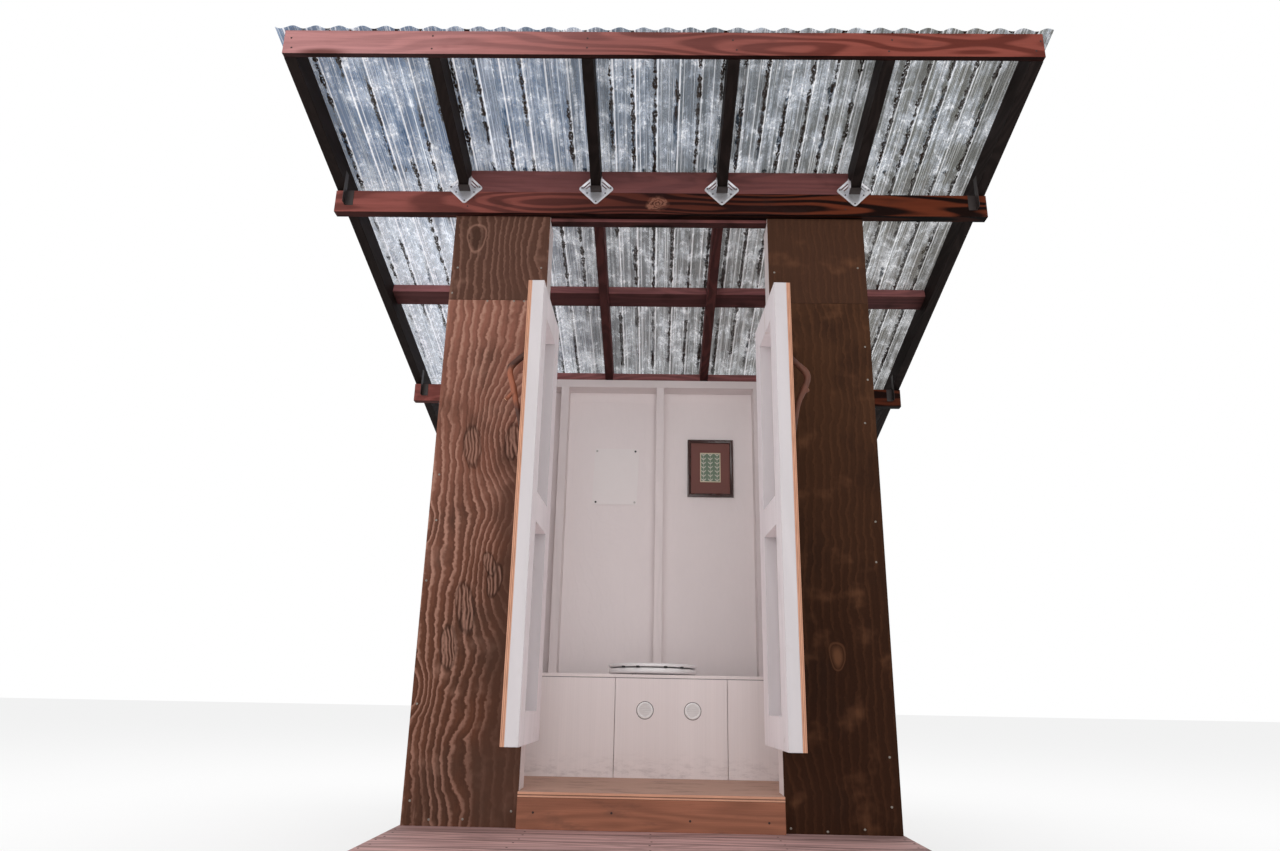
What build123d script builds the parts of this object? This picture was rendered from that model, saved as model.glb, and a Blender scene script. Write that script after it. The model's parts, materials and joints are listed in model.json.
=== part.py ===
from build123d import *
import os
from math import atan, cos, radians, sin, sqrt

# Sawn timber and sheet goods, in millimetres
timber_thickness = 38.0
timber_width = 89.0
header_height = 184.0
fascia_thickness = 19.0
fascia_height = 89.0
deck_board_width = 137.0
deck_board_gap = 3.0
deck_board_thickness = 38.0
wall_ply = 12.0
floor_ply = 16.0
bench_ply = 12.0

# The cabin and the platform it stands on
cabin_width = 1524.0
side_panel_depth = 1219.0
deck_front_reach = 525.0
deck_side_reach = 5.0
deck_joist_count = 5
floor_joist_count = 5
stud_spacing = 406.0
back_stud_places = (-448.0, 20.0, 493.0)
doorway_width = 812.0
panel_seam_height = 1758.0
panel_seam_gap = 1.0

# The lean-to roof: heights are above the deck, at the outer face of the front wall
roof_rise = 0.25
roof_height = 2288.0
front_overhang = 587.0
beam_length = 2438.0
rafter_length = 2438.0
side_rafter_place = 731.0
inner_rafter_place = 236.0
purlin_place = 630.0
rear_blocking_height = 54.0
sheet_length = 2438.0
sheet_count = 4
sheet_side_reach = 38.0
wave_pitch = 76.2
wave_depth = 18.0
sheet_thickness = 1.2
sheet_side_gap = 1.0
sheet_lip = 6.0

# Steel rafter hangers and rafter ties
hanger_size = 96.0
hanger_rise = 15.0
hanger_thickness = 2.0
hanger_cheek_height = 60.0
hanger_cheek_depth = 34.0
hanger_seat_length = 30.0
tie_width = 30.0
tie_height = 130.0
tie_thickness = 1.5
tie_drop = 62.0

# The two swing doors
door_width = 397.0
door_gap = 6.0
door_bottom = 251.0
door_top = 1632.0
mid_rail_place = 882.0
left_door_angle = 90.9
right_door_angle = 92.0
joint_gap = 0.3
hinge_pin_radius = 2.5
hinge_pin_clearance = 0.08
knuckle_radius = 5.0
knuckle_stand_off = 6.0
knuckle_gap = 0.5
hinge_height = 76.0
hinge_leaf_width = 38.0
hinge_leaf_thickness = 2.0
hinge_inset = 150.0
handle_radius = 9.0
handle_place = 350.0
handle_bend_radius = 22.0
left_handle_points = ((-8.0, 1411.0), (58.0, 1352.0), (31.0, 1262.0), (-8.0, 1130.0))
right_handle_points = ((-8.0, 1409.0), (60.0, 1345.0), (52.0, 1312.0), (24.0, 1266.0), (-8.0, 1096.0))

# The bench, its vents and the toilet seat
bench_height = 363.0
bench_depth = 622.0
bench_end_gap = 1.0
access_panel_left = -139.0
access_panel_right = 280.0
access_panel_gap = 2.0
cleat_size = 38.0
vent_radius = 30.0
vent_throat_radius = 24.0
vent_flange = 2.5
vent_dome = 6.0
vent_spacing = 177.0
vent_shift = -8.5
vent_height = 235.0
seat_width = 362.0
seat_length = 440.0
seat_setback = 85.0
seat_ring_width = 75.0
seat_bumper_height = 6.0
seat_bumper_radius = 9.0
seat_bumper_angle = 60.0
seat_thickness = 22.0
lid_gap = 5.0
lid_thickness = 14.0
seat_hinge_radius = 4.0
seat_hinge_clearance = 0.08
seat_hinge_spacing = 140.0
seat_hinge_length = 24.0
seat_knuckle_length = 88.0
seat_hole_margin = 10.0

# The framed picture on the back wall
picture_place = 268.0
picture_bottom = 1314.0
picture_width = 222.0
picture_height = 286.0
picture_depth = 18.0
picture_border = 34.0
picture_mat_depth = 8.0

# Places worked out from the sizes above
cabin_depth = side_panel_depth + 2 * wall_ply
half_width = cabin_width / 2
front_face = -cabin_depth / 2
rear_face = cabin_depth / 2
front_stud_face = front_face + wall_ply
rear_stud_face = rear_face - wall_ply
front_inner_face = front_stud_face + timber_width
rear_inner_face = rear_stud_face - timber_width
side_stud_face = half_width - wall_ply
side_inner_face = side_stud_face - timber_width
half_doorway = doorway_width / 2
deck_top = timber_width + deck_board_thickness
floor_top = deck_top + timber_width + floor_ply
half_deck = half_width + deck_side_reach
deck_front = front_face - deck_front_reach
roof_angle = atan(roof_rise)
rafter_plumb_depth = timber_width * sqrt(1 + roof_rise**2)
plate_plumb_depth = timber_thickness * sqrt(1 + roof_rise**2)
half_beam = beam_length / 2
outer_rafter_place = half_beam - timber_thickness / 2
fascia_front = front_face - front_overhang
rafter_front = fascia_front + fascia_thickness
rafter_back = rafter_front + rafter_length * cos(roof_angle)


def roof_top(y):
    """Height of the rafters' top edges, where the sheets lie."""
    return deck_top + roof_height - roof_rise * (y - front_face)


def roof_under(y):
    """Height of the rafters' lower edges."""
    return roof_top(y) - rafter_plumb_depth


header_back = front_stud_face + timber_thickness
header_top = roof_top(header_back)
header_bottom = header_top - header_height
front_beam_top = roof_under(front_stud_face)
front_beam_bottom = front_beam_top - timber_width
front_beam_face = front_stud_face - timber_thickness
rear_beam_back = rear_stud_face + timber_thickness
rear_beam_top = roof_under(rear_beam_back)
rear_beam_bottom = rear_beam_top - timber_width
hanger_face = front_beam_face - hanger_thickness
roof_plane = Plane(
    origin=(0, fascia_front, roof_top(fascia_front)),
    x_dir=(1, 0, 0),
    z_dir=(0, sin(roof_angle), cos(roof_angle)),
)


def block(low, high):
    """Add a rectangular piece between two corners to the part being built."""
    middle = [(a + b) / 2 for a, b in zip(low, high)]
    with Locations(tuple(middle)):
        Box(*[b - a for a, b in zip(low, high)])


def slope_piece(x_low, x_high, outline):
    """Add a piece with a side outline of (y, z) points, between two widths."""
    with BuildSketch(Plane.YZ.offset(x_low)) as profile:
        with BuildLine():
            Polyline(*outline, close=True)
        make_face()
    extrude(profile.sketch, amount=x_high - x_low)


def finish(piece, label):
    """Name a finished piece and write it."""
    piece.part.label = label
    export_step(piece.part, "parts/" + label + ".step")


os.makedirs("parts", exist_ok=True)


# The platform: joists from front to back, closed by a rim at each end, with boards across
deck_joist_reach = half_deck - timber_thickness / 2
deck_joist_step = 2 * deck_joist_reach / (deck_joist_count - 1)

with BuildPart() as deck_joists:
    for number in range(deck_joist_count):
        x = number * deck_joist_step - deck_joist_reach
        block(
            (x - timber_thickness / 2, deck_front + timber_thickness, 0),
            (x + timber_thickness / 2, rear_face - timber_thickness, timber_width),
        )
finish(deck_joists, "deck_joists")

with BuildPart() as deck_rims:
    block((-half_deck, deck_front, 0), (half_deck, deck_front + timber_thickness, timber_width))
    block((-half_deck, rear_face - timber_thickness, 0), (half_deck, rear_face, timber_width))
finish(deck_rims, "deck_rims")

with BuildPart() as deck_boards:
    board_front = deck_front
    while board_front < rear_face - deck_board_gap:
        board_back = min(board_front + deck_board_width, rear_face)
        block((-half_deck, board_front, timber_width), (half_deck, board_back, deck_top))
        board_front = board_back + deck_board_gap
finish(deck_boards, "deck_boards")


# The floor: joists between two rims, a toe board proud of the front, and plywood over all
joist_top = deck_top + timber_width
floor_joist_reach = side_stud_face - timber_thickness / 2
floor_joist_step = 2 * floor_joist_reach / (floor_joist_count - 1)

with BuildPart() as floor_joists:
    for number in range(floor_joist_count):
        x = number * floor_joist_step - floor_joist_reach
        block(
            (x - timber_thickness / 2, front_stud_face + timber_thickness, deck_top),
            (x + timber_thickness / 2, rear_stud_face - timber_thickness, joist_top),
        )
finish(floor_joists, "floor_joists")

with BuildPart() as floor_rims:
    block((-side_stud_face, front_stud_face, deck_top), (side_stud_face, header_back, joist_top))
    block(
        (-side_stud_face, rear_stud_face - timber_thickness, deck_top),
        (side_stud_face, rear_stud_face, joist_top),
    )
finish(floor_rims, "floor_rims")

with BuildPart() as toe_board:
    block((-half_doorway, front_beam_face, deck_top), (half_doorway, front_stud_face, joist_top))
finish(toe_board, "toe_board")

with BuildPart() as floor_panel:
    block((-side_stud_face, front_stud_face, joist_top), (side_stud_face, rear_stud_face, floor_top))
    block((-half_doorway, front_beam_face, joist_top), (half_doorway, front_stud_face, floor_top))
finish(floor_panel, "floor_panel")


# Side walls: a bottom plate, studs and a sloping top plate, with plywood outside
plate_top = floor_top + timber_thickness
first_stud = front_stud_face + timber_thickness / 2
last_stud = rear_stud_face - timber_thickness / 2
stud_bays = round((last_stud - first_stud) / stud_spacing)
stud_rows = [first_stud + number * stud_spacing for number in range(stud_bays)]
stud_rows.append(last_stud)

with BuildPart() as side_wall_studs:
    for side in (-1, 1):
        inner = min(side * side_inner_face, side * side_stud_face)
        for row in stud_rows:
            near = row - timber_thickness / 2
            far = row + timber_thickness / 2
            if row == stud_rows[0]:
                near_top = header_bottom
                far_top = header_bottom
            else:
                near_top = roof_under(near) - plate_plumb_depth
                far_top = roof_under(far) - plate_plumb_depth
            slope_piece(
                inner,
                inner + timber_width,
                [(near, plate_top), (far, plate_top), (far, far_top), (near, near_top)],
            )
finish(side_wall_studs, "side_wall_studs")

with BuildPart() as side_wall_plates:
    for side in (-1, 1):
        inner = min(side * side_inner_face, side * side_stud_face)
        block(
            (inner, front_stud_face, floor_top),
            (inner + timber_width, rear_stud_face, plate_top),
        )
        slope_piece(
            inner,
            inner + timber_width,
            [
                (header_back, roof_under(header_back) - plate_plumb_depth),
                (rear_stud_face, roof_under(rear_stud_face) - plate_plumb_depth),
                (rear_stud_face, roof_under(rear_stud_face)),
                (header_back, roof_under(header_back)),
            ],
        )
finish(side_wall_plates, "side_wall_plates")

side_panel_outline = [
    (front_stud_face, deck_top),
    (rear_stud_face, deck_top),
    (rear_stud_face, roof_under(rear_stud_face)),
    (front_stud_face, roof_under(front_stud_face)),
]

with BuildPart() as left_wall_panel:
    slope_piece(-half_width, -side_stud_face, side_panel_outline)
finish(left_wall_panel, "left_wall_panel")

with BuildPart() as right_wall_panel:
    slope_piece(side_stud_face, half_width, side_panel_outline)
finish(right_wall_panel, "right_wall_panel")


# Back wall
back_plate_bottom = rear_beam_top - timber_thickness

with BuildPart() as back_wall_studs:
    for place in back_stud_places:
        block(
            (place - timber_thickness / 2, rear_inner_face, plate_top),
            (place + timber_thickness / 2, rear_stud_face, back_plate_bottom),
        )
finish(back_wall_studs, "back_wall_studs")

with BuildPart() as back_wall_plates:
    block((-side_inner_face, rear_inner_face, floor_top), (side_inner_face, rear_stud_face, plate_top))
    block(
        (-side_inner_face, rear_inner_face, back_plate_bottom),
        (side_inner_face, rear_stud_face, rear_beam_top),
    )
finish(back_wall_plates, "back_wall_plates")

with BuildPart() as back_wall_panel:
    block((-half_width, rear_stud_face, deck_top), (half_width, rear_face, rear_beam_bottom))
finish(back_wall_panel, "back_wall_panel")


# Front wall: a jamb stud each side of the doorway, plates to the corners, and plywood outside
with BuildPart() as door_jambs:
    for side in (-1, 1):
        inner = min(side * half_doorway, side * (half_doorway + timber_thickness))
        block(
            (inner, front_stud_face, floor_top),
            (inner + timber_thickness, front_inner_face, header_bottom),
        )
finish(door_jambs, "door_jambs")

with BuildPart() as front_wall_plates:
    plate_length = side_inner_face - half_doorway - timber_thickness
    for side in (-1, 1):
        inner = min(side * side_inner_face, side * (half_doorway + timber_thickness))
        for bottom in (floor_top, header_bottom - timber_thickness):
            block(
                (inner, front_stud_face, bottom),
                (inner + plate_length, front_inner_face, bottom + timber_thickness),
            )
finish(front_wall_plates, "front_wall_plates")

seam = deck_top + panel_seam_height

with BuildPart() as front_left_panel:
    block((-half_width, front_face, deck_top), (-half_doorway, front_stud_face, seam))
finish(front_left_panel, "front_left_panel")

with BuildPart() as front_left_upper_panel:
    block(
        (-half_width, front_face, seam + panel_seam_gap),
        (-half_doorway, front_stud_face, front_beam_bottom),
    )
finish(front_left_upper_panel, "front_left_upper_panel")

with BuildPart() as front_right_panel:
    block((half_doorway, front_face, deck_top), (half_width, front_stud_face, seam))
finish(front_right_panel, "front_right_panel")

with BuildPart() as front_right_upper_panel:
    block(
        (half_doorway, front_face, seam + panel_seam_gap),
        (half_width, front_stud_face, front_beam_bottom),
    )
finish(front_right_upper_panel, "front_right_upper_panel")


# Roof timbers
with BuildPart() as front_header:
    block((-side_stud_face, front_stud_face, header_bottom), (side_stud_face, header_back, header_top))
finish(front_header, "front_header")

with BuildPart() as front_beam:
    block((-half_beam, front_beam_face, front_beam_bottom), (half_beam, front_stud_face, front_beam_top))
finish(front_beam, "front_beam")

# One board on top of the front beam and flush with it, behind the ends of the front rafters
with BuildPart() as front_blocking:
    block(
        (-side_rafter_place, front_beam_face, front_beam_top),
        (side_rafter_place, front_stud_face, roof_top(front_stud_face)),
    )
finish(front_blocking, "front_blocking")

with BuildPart() as rear_beam:
    block((-half_beam, rear_stud_face, rear_beam_bottom), (half_beam, rear_beam_back, rear_beam_top))
finish(rear_beam, "rear_beam")


def rafter(place, front, back):
    """Add a sloping rafter with plumb-cut ends, centred on a place across the roof."""
    outline = [
        (front, roof_under(front)),
        (back, roof_under(back)),
        (back, roof_top(back)),
        (front, roof_top(front)),
    ]
    slope_piece(place - timber_thickness / 2, place + timber_thickness / 2, outline)


with BuildPart() as outer_rafters:
    for side in (-1, 1):
        rafter(side * outer_rafter_place, rafter_front, rafter_back)
finish(outer_rafters, "outer_rafters")

rafter_places = (-side_rafter_place, -inner_rafter_place, inner_rafter_place, side_rafter_place)

with BuildPart() as front_rafters:
    for place in rafter_places:
        rafter(place, rafter_front, hanger_face)
finish(front_rafters, "front_rafters")

with BuildPart() as rear_rafters:
    for place in rafter_places:
        rafter(place, header_back, rafter_back)
finish(rear_rafters, "rear_rafters")

# Flat blocks in one line between the rafters, level with their top edges
purlin_front = (front_face + purlin_place - fascia_front) / cos(roof_angle)
purlin_edges = [-outer_rafter_place, *rafter_places, outer_rafter_place]

with BuildPart() as roof_purlins:
    with BuildSketch(roof_plane.offset(-timber_thickness)):
        for left, right in zip(purlin_edges, purlin_edges[1:]):
            with Locations(((left + right) / 2, purlin_front + timber_width / 2)):
                Rectangle(right - left - timber_thickness, timber_width)
    extrude(amount=timber_thickness)
finish(roof_purlins, "roof_purlins")

rear_block_ends = [-side_inner_face, -inner_rafter_place, inner_rafter_place, side_inner_face]

with BuildPart() as rear_blocking:
    for left, right in zip(rear_block_ends, rear_block_ends[1:]):
        low = left if left == rear_block_ends[0] else left + timber_thickness / 2
        high = right if right == rear_block_ends[-1] else right - timber_thickness / 2
        block(
            (low, rear_stud_face - timber_thickness, rear_beam_top),
            (high, rear_stud_face, rear_beam_top + rear_blocking_height),
        )
finish(rear_blocking, "rear_blocking")

with BuildPart() as fascia:
    fascia_top = roof_top(fascia_front + fascia_thickness)
    block(
        (-half_beam, fascia_front, fascia_top - fascia_height),
        (half_beam, fascia_front + fascia_thickness, fascia_top),
    )
finish(fascia, "fascia")


# Corrugated sheets: each half wave is one arc, and the sheet has one thickness all over
sheet_end = Plane(
    origin=roof_plane.from_local_coords((0, sheet_length - sheet_lip, wave_depth / 2)),
    x_dir=(1, 0, 0),
    z_dir=(0, -cos(roof_angle), sin(roof_angle)),
)


def wave_line(low, high, waves, height):
    """Add the arcs of one face of a sheet to the line being built."""
    half_wave = (high - low) / (2 * waves)
    for half in range(2 * waves):
        left = low + half * half_wave
        lift = wave_depth / 2 if half % 2 else -wave_depth / 2
        ThreePointArc(
            (left, height),
            (left + half_wave / 2, height + lift),
            (left + half_wave, height),
        )


roof_waves = round(2 * (half_beam + sheet_side_reach) / wave_pitch)
sheet_left = -roof_waves * wave_pitch / 2

for number in range(1, sheet_count + 1):
    waves = roof_waves * number // sheet_count - roof_waves * (number - 1) // sheet_count
    sheet_right = sheet_left + waves * wave_pitch
    low_edge = sheet_left + sheet_side_gap / 2
    high_edge = sheet_right - sheet_side_gap / 2
    with BuildPart() as roof_sheet:
        with BuildSketch(sheet_end):
            with BuildLine():
                wave_line(low_edge, high_edge, waves, 0)
                wave_line(low_edge, high_edge, waves, sheet_thickness)
                for edge in (low_edge, high_edge):
                    Line((edge, 0), (edge, sheet_thickness))
            make_face()
        extrude(amount=sheet_length)
    finish(roof_sheet, "roof_sheet_" + str(number))
    sheet_left = sheet_right


# Steel plates turned on one corner against the beam, with two cheeks and a seat for the rafter
hanger_centre = front_beam_top + hanger_rise
cheek_inner = timber_thickness / 2
cheek_outer = cheek_inner + hanger_thickness

with BuildPart() as rafter_hangers:
    for place in rafter_places:
        with BuildSketch(Plane.XZ.offset(-front_beam_face)):
            with Locations((place, hanger_centre)):
                Rectangle(hanger_size, hanger_size, rotation=45)
        extrude(amount=hanger_thickness)
        for side in (-1, 1):
            low = min(side * cheek_inner, side * cheek_outer)
            near = hanger_face - hanger_cheek_depth
            under_near = roof_under(near)
            under_back = roof_under(hanger_face)
            slope_piece(
                place + low,
                place + low + hanger_thickness,
                [
                    (near, under_near),
                    (hanger_face, under_back),
                    (hanger_face, under_back + hanger_cheek_height),
                    (near, under_near + hanger_cheek_height / 2),
                ],
            )
        near = hanger_face - hanger_seat_length
        slope_piece(
            place - cheek_outer,
            place + cheek_outer,
            [
                (near, roof_under(near) - hanger_thickness),
                (hanger_face, roof_under(hanger_face) - hanger_thickness),
                (hanger_face, roof_under(hanger_face)),
                (near, roof_under(near)),
            ],
        )
finish(rafter_hangers, "rafter_hangers")

# Ties: a strap on the inner side of each outer rafter, turned against the beam's face
with BuildPart() as rafter_ties:
    for side in (-1, 1):
        inner_side = side * (outer_rafter_place - timber_thickness / 2)
        for beam_face, beam_top in ((front_beam_face, front_beam_top), (rear_stud_face, rear_beam_top)):
            low = min(inner_side, inner_side - side * tie_thickness)
            block(
                (low, beam_face - tie_width, beam_top - tie_drop),
                (low + tie_thickness, beam_face, beam_top - tie_drop + tie_height),
            )
            flange = inner_side - side * tie_width
            block(
                (min(inner_side, flange), beam_face - tie_thickness, beam_top - tie_drop),
                (max(inner_side, flange), beam_face, beam_top),
            )
finish(rafter_ties, "rafter_ties")


# The bench across the back of the cabin
bench_top_height = floor_top + bench_height
bench_front = rear_inner_face - bench_depth
half_bench = side_inner_face - bench_end_gap
seat_front = bench_front + seat_setback
seat_centre = seat_front + seat_length / 2
seat_hole_width = seat_width - 2 * seat_ring_width
seat_hole_length = seat_length - 2 * seat_ring_width

with BuildPart() as bench_top:
    block(
        (-half_bench, bench_front, bench_top_height - bench_ply),
        (half_bench, rear_inner_face, bench_top_height),
    )
    with BuildSketch(Plane.XY.offset(bench_top_height)):
        with Locations((0, seat_centre)):
            Ellipse(seat_hole_width / 2 + seat_hole_margin, seat_hole_length / 2 + seat_hole_margin)
    extrude(amount=-bench_ply, mode=Mode.SUBTRACT)
finish(bench_top, "bench_top")

panel_high = bench_top_height - bench_ply
panel_edges = (
    (-half_bench, access_panel_left - access_panel_gap / 2),
    (access_panel_left + access_panel_gap / 2, access_panel_right - access_panel_gap / 2),
    (access_panel_right + access_panel_gap / 2, half_bench),
)

with BuildPart() as bench_front_panels:
    for low, high in panel_edges:
        block((low, bench_front, floor_top), (high, bench_front + bench_ply, panel_high))
finish(bench_front_panels, "bench_front_panels")

with BuildPart() as bench_cleats:
    for near in (bench_front + bench_ply, rear_inner_face - cleat_size):
        block((-half_bench, near, panel_high - cleat_size), (half_bench, near + cleat_size, panel_high))
finish(bench_cleats, "bench_cleats")

vent_middle = (access_panel_left + access_panel_right) / 2 + vent_shift

with BuildPart() as bench_vents:
    for side in (-1, 1):
        place = vent_middle + side * vent_spacing / 2
        for radius, proud in ((vent_radius, vent_flange), (vent_throat_radius, vent_dome)):
            with BuildSketch(Plane.XZ.offset(-bench_front)):
                with Locations((place, floor_top + vent_height)):
                    Circle(radius)
            extrude(amount=proud)
finish(bench_vents, "bench_vents")


# The toilet seat: a ring on bumpers with two hinge posts, and a lid that turns on their pins
ring_bottom = bench_top_height + seat_bumper_height
ring_top = ring_bottom + seat_thickness
lid_bottom = ring_top + lid_gap
lid_top = lid_bottom + lid_thickness
pin_line = seat_front + seat_length + seat_hinge_radius
pin_height = lid_bottom + lid_thickness / 2
post_radius = lid_thickness / 2
bore_radius = seat_hinge_radius + seat_hinge_clearance
post_back = pin_line + post_radius
post_front = seat_centre + seat_hole_length / 2 + seat_hole_margin
bumper_x = (seat_width - seat_ring_width) / 2 * cos(radians(seat_bumper_angle))
bumper_y = (seat_length - seat_ring_width) / 2 * sin(radians(seat_bumper_angle))

with BuildPart() as toilet_seat:
    with BuildSketch(Plane.XY.offset(ring_bottom)):
        with Locations((0, seat_centre)):
            Ellipse(seat_width / 2, seat_length / 2)
            Ellipse(seat_hole_width / 2, seat_hole_length / 2, mode=Mode.SUBTRACT)
    extrude(amount=seat_thickness)
    with BuildSketch(Plane.XY.offset(bench_top_height)):
        for x in (-1, 1):
            for y in (-1, 1):
                with Locations((x * bumper_x, seat_centre + y * bumper_y)):
                    Circle(seat_bumper_radius)
    extrude(amount=seat_bumper_height)
    for side in (-1, 1):
        middle = side * seat_hinge_spacing / 2
        block(
            (middle - seat_hinge_length / 2, post_front, bench_top_height),
            (middle + seat_hinge_length / 2, post_back, ring_top),
        )
        block(
            (middle - seat_hinge_length / 2, pin_line - post_radius, ring_top),
            (middle + seat_hinge_length / 2, post_back, pin_height),
        )
        with Locations(Location((middle, pin_line, pin_height), (0, 90, 0))):
            Cylinder(post_radius, seat_hinge_length)
            Cylinder(seat_hinge_radius, 2 * seat_hinge_length)
finish(toilet_seat, "toilet_seat")

knuckle_inner = seat_hinge_length / 2 + knuckle_gap
knuckle_outer = seat_hinge_length
knuckle_root = seat_front + seat_length - seat_knuckle_length

with BuildPart() as toilet_lid:
    with BuildSketch(Plane.XY.offset(lid_bottom)):
        with Locations((0, seat_centre)):
            Ellipse(seat_width / 2, seat_length / 2)
    extrude(amount=lid_thickness)
    for side in (-1, 1):
        middle = side * seat_hinge_spacing / 2
        for way in (-1, 1):
            low = min(middle + way * knuckle_inner, middle + way * knuckle_outer)
            high = max(middle + way * knuckle_inner, middle + way * knuckle_outer)
            block((low, knuckle_root, lid_bottom), (high, pin_line, lid_top))
            with Locations(Location(((low + high) / 2, pin_line, pin_height), (0, 90, 0))):
                Cylinder(post_radius, high - low)
        with Locations((middle, pin_line, pin_height)):
            Box(
                2 * knuckle_inner,
                2 * (post_radius + knuckle_gap),
                2 * lid_thickness,
                mode=Mode.SUBTRACT,
            )
        with Locations(Location((middle, pin_line, pin_height), (0, 90, 0))):
            Cylinder(bore_radius, 2 * knuckle_outer + knuckle_gap, mode=Mode.SUBTRACT)
finish(toilet_lid, "toilet_lid")


# The framed picture: a moulding with a shallow backing inside it
picture_low = deck_top + picture_bottom
picture_high = picture_low + picture_height
picture_left = picture_place - picture_width / 2
picture_right = picture_place + picture_width / 2

with BuildPart() as picture_frame:
    block(
        (picture_left, rear_stud_face - picture_depth, picture_low),
        (picture_right, rear_stud_face, picture_high),
    )
    with Locations(
        (picture_place, rear_stud_face - picture_depth, picture_low + picture_height / 2),
    ):
        Box(
            picture_width - 2 * picture_border,
            2 * picture_mat_depth,
            picture_height - 2 * picture_border,
            mode=Mode.SUBTRACT,
        )
finish(picture_frame, "picture_frame")


# The swing doors: each is built along its own plane, hinge pin at the plane's origin
pin_face_place = front_face - knuckle_stand_off
hinge_levels = (
    deck_top + door_bottom + hinge_inset,
    deck_top + door_top - hinge_inset,
)
knuckle_third = hinge_height / 3


def knuckle(low, high, radius, mode=Mode.ADD):
    """Add or cut a round stretch of hinge barrel between two heights."""
    with Locations((0, 0, (low + high) / 2)):
        Cylinder(radius, high - low, mode=mode)


def leaf(side, way, level, parts):
    """Add a hinge leaf: a plate clear of the barrel, with tabs at its own knuckles."""
    flat_low = knuckle_stand_off - hinge_leaf_thickness
    ys = sorted((side * flat_low, side * knuckle_stand_off))
    xs = sorted((way * (knuckle_radius + knuckle_gap), way * hinge_leaf_width))
    block(
        (xs[0], ys[0], level - hinge_height / 2),
        (xs[1], ys[1], level + hinge_height / 2),
    )
    for low, high in parts:
        tab = sorted((0, way * (knuckle_radius + knuckle_gap)))
        block((tab[0], ys[0], low), (tab[1], ys[1], high))


for name, side, door_angle, handle_points in (
    ("left", 1, left_door_angle, left_handle_points),
    ("right", -1, right_door_angle, right_handle_points),
):
    pin_place = -side * half_doorway
    swing = -door_angle if side == 1 else 180 + door_angle
    door_plane = Plane(origin=(pin_place, pin_face_place, 0)).rotated((0, 0, swing))
    wall_plane = Plane(origin=(pin_place, pin_face_place, 0)).rotated((0, 0, 0 if side == 1 else 180))
    low_edge = deck_top + door_bottom
    high_edge = deck_top + door_top
    near = door_gap
    far = door_gap + door_width
    ply_front = knuckle_stand_off
    ply_back = ply_front + wall_ply
    frame_back = ply_back + timber_thickness

    def across(front, back):
        """Turn a depth range behind the door's face into the plane's own range."""
        return sorted((side * front, side * back))

    with BuildPart(door_plane) as door_panel:
        y_low, y_high = across(ply_front, ply_back)
        block((near, y_low, low_edge), (far, y_high, high_edge))
    finish(door_panel, name + "_door_panel")

    with BuildPart(door_plane) as door_frame:
        y_low, y_high = across(ply_back, frame_back)
        for edge in (near, far - timber_width):
            block((edge, y_low, low_edge), (edge + timber_width, y_high, high_edge))
        rail_near = near + timber_width + joint_gap
        rail_far = far - timber_width - joint_gap
        for rail in (low_edge, deck_top + mid_rail_place, high_edge - timber_width):
            block((rail_near, y_low, rail), (rail_far, y_high, rail + timber_width))
    finish(door_frame, name + "_door_frame")

    outward = door_plane.y_dir * -side
    face_origin = door_plane.from_local_coords((handle_place, side * ply_front, deck_top))
    handle_plane = Plane(origin=face_origin, x_dir=outward, z_dir=outward.cross(Vector(0, 0, 1)))

    with BuildPart(door_plane) as door_handle:
        with BuildLine(handle_plane) as grip:
            FilletPolyline(*handle_points, radius=handle_bend_radius)
        with BuildSketch(Plane(origin=grip.line @ 0, z_dir=grip.line % 0)):
            Circle(handle_radius)
        sweep(path=grip.line)
        y_low, y_high = across(ply_front, frame_back)
        with Locations((far / 2, (y_low + y_high) / 2, (low_edge + high_edge) / 2)):
            Box(2 * far, y_high - y_low, high_edge - low_edge, mode=Mode.SUBTRACT)
    finish(door_handle, name + "_door_handle")

    with BuildPart(door_plane) as door_hinges:
        for level in hinge_levels:
            inner_low = level - knuckle_third / 2 + knuckle_gap
            inner_high = level + knuckle_third / 2 - knuckle_gap
            leaf(side, 1, level, [(inner_low, inner_high)])
            knuckle(inner_low, inner_high, knuckle_radius)
            knuckle(
                inner_low - knuckle_gap,
                inner_high + knuckle_gap,
                hinge_pin_radius + hinge_pin_clearance,
                Mode.SUBTRACT,
            )
    finish(door_hinges, name + "_door_hinges")

    with BuildPart(wall_plane) as wall_hinges:
        for level in hinge_levels:
            outer = (
                (level - hinge_height / 2, level - knuckle_third / 2),
                (level + knuckle_third / 2, level + hinge_height / 2),
            )
            leaf(side, -1, level, outer)
            for low, high in outer:
                knuckle(low, high, knuckle_radius)
            knuckle(level - hinge_height / 2, level + hinge_height / 2, hinge_pin_radius)
    finish(wall_hinges, name + "_wall_hinges")
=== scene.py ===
import json
import random
from math import cos, pi, radians, sin, tan, tau

import bmesh
import bpy
from mathutils import Matrix, Vector


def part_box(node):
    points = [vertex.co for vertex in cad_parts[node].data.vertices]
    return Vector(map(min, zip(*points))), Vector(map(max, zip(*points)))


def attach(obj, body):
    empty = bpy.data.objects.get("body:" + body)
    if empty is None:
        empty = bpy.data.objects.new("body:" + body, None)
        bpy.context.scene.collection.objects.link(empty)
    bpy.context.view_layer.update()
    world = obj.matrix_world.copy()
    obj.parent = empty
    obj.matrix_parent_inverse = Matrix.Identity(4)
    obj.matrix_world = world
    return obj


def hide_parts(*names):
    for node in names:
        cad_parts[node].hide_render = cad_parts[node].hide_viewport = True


bl_info = {
    "name": "Wooden Outhouse",
    "version": (1, 0, 0),
    "blender": (4, 5, 0),
    "location": "View3D > Sidebar > Outhouse",
    "description": "Finishes, fastenings and small pieces of a timber outhouse, around its packed frame",
    "category": "Object",
}

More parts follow.
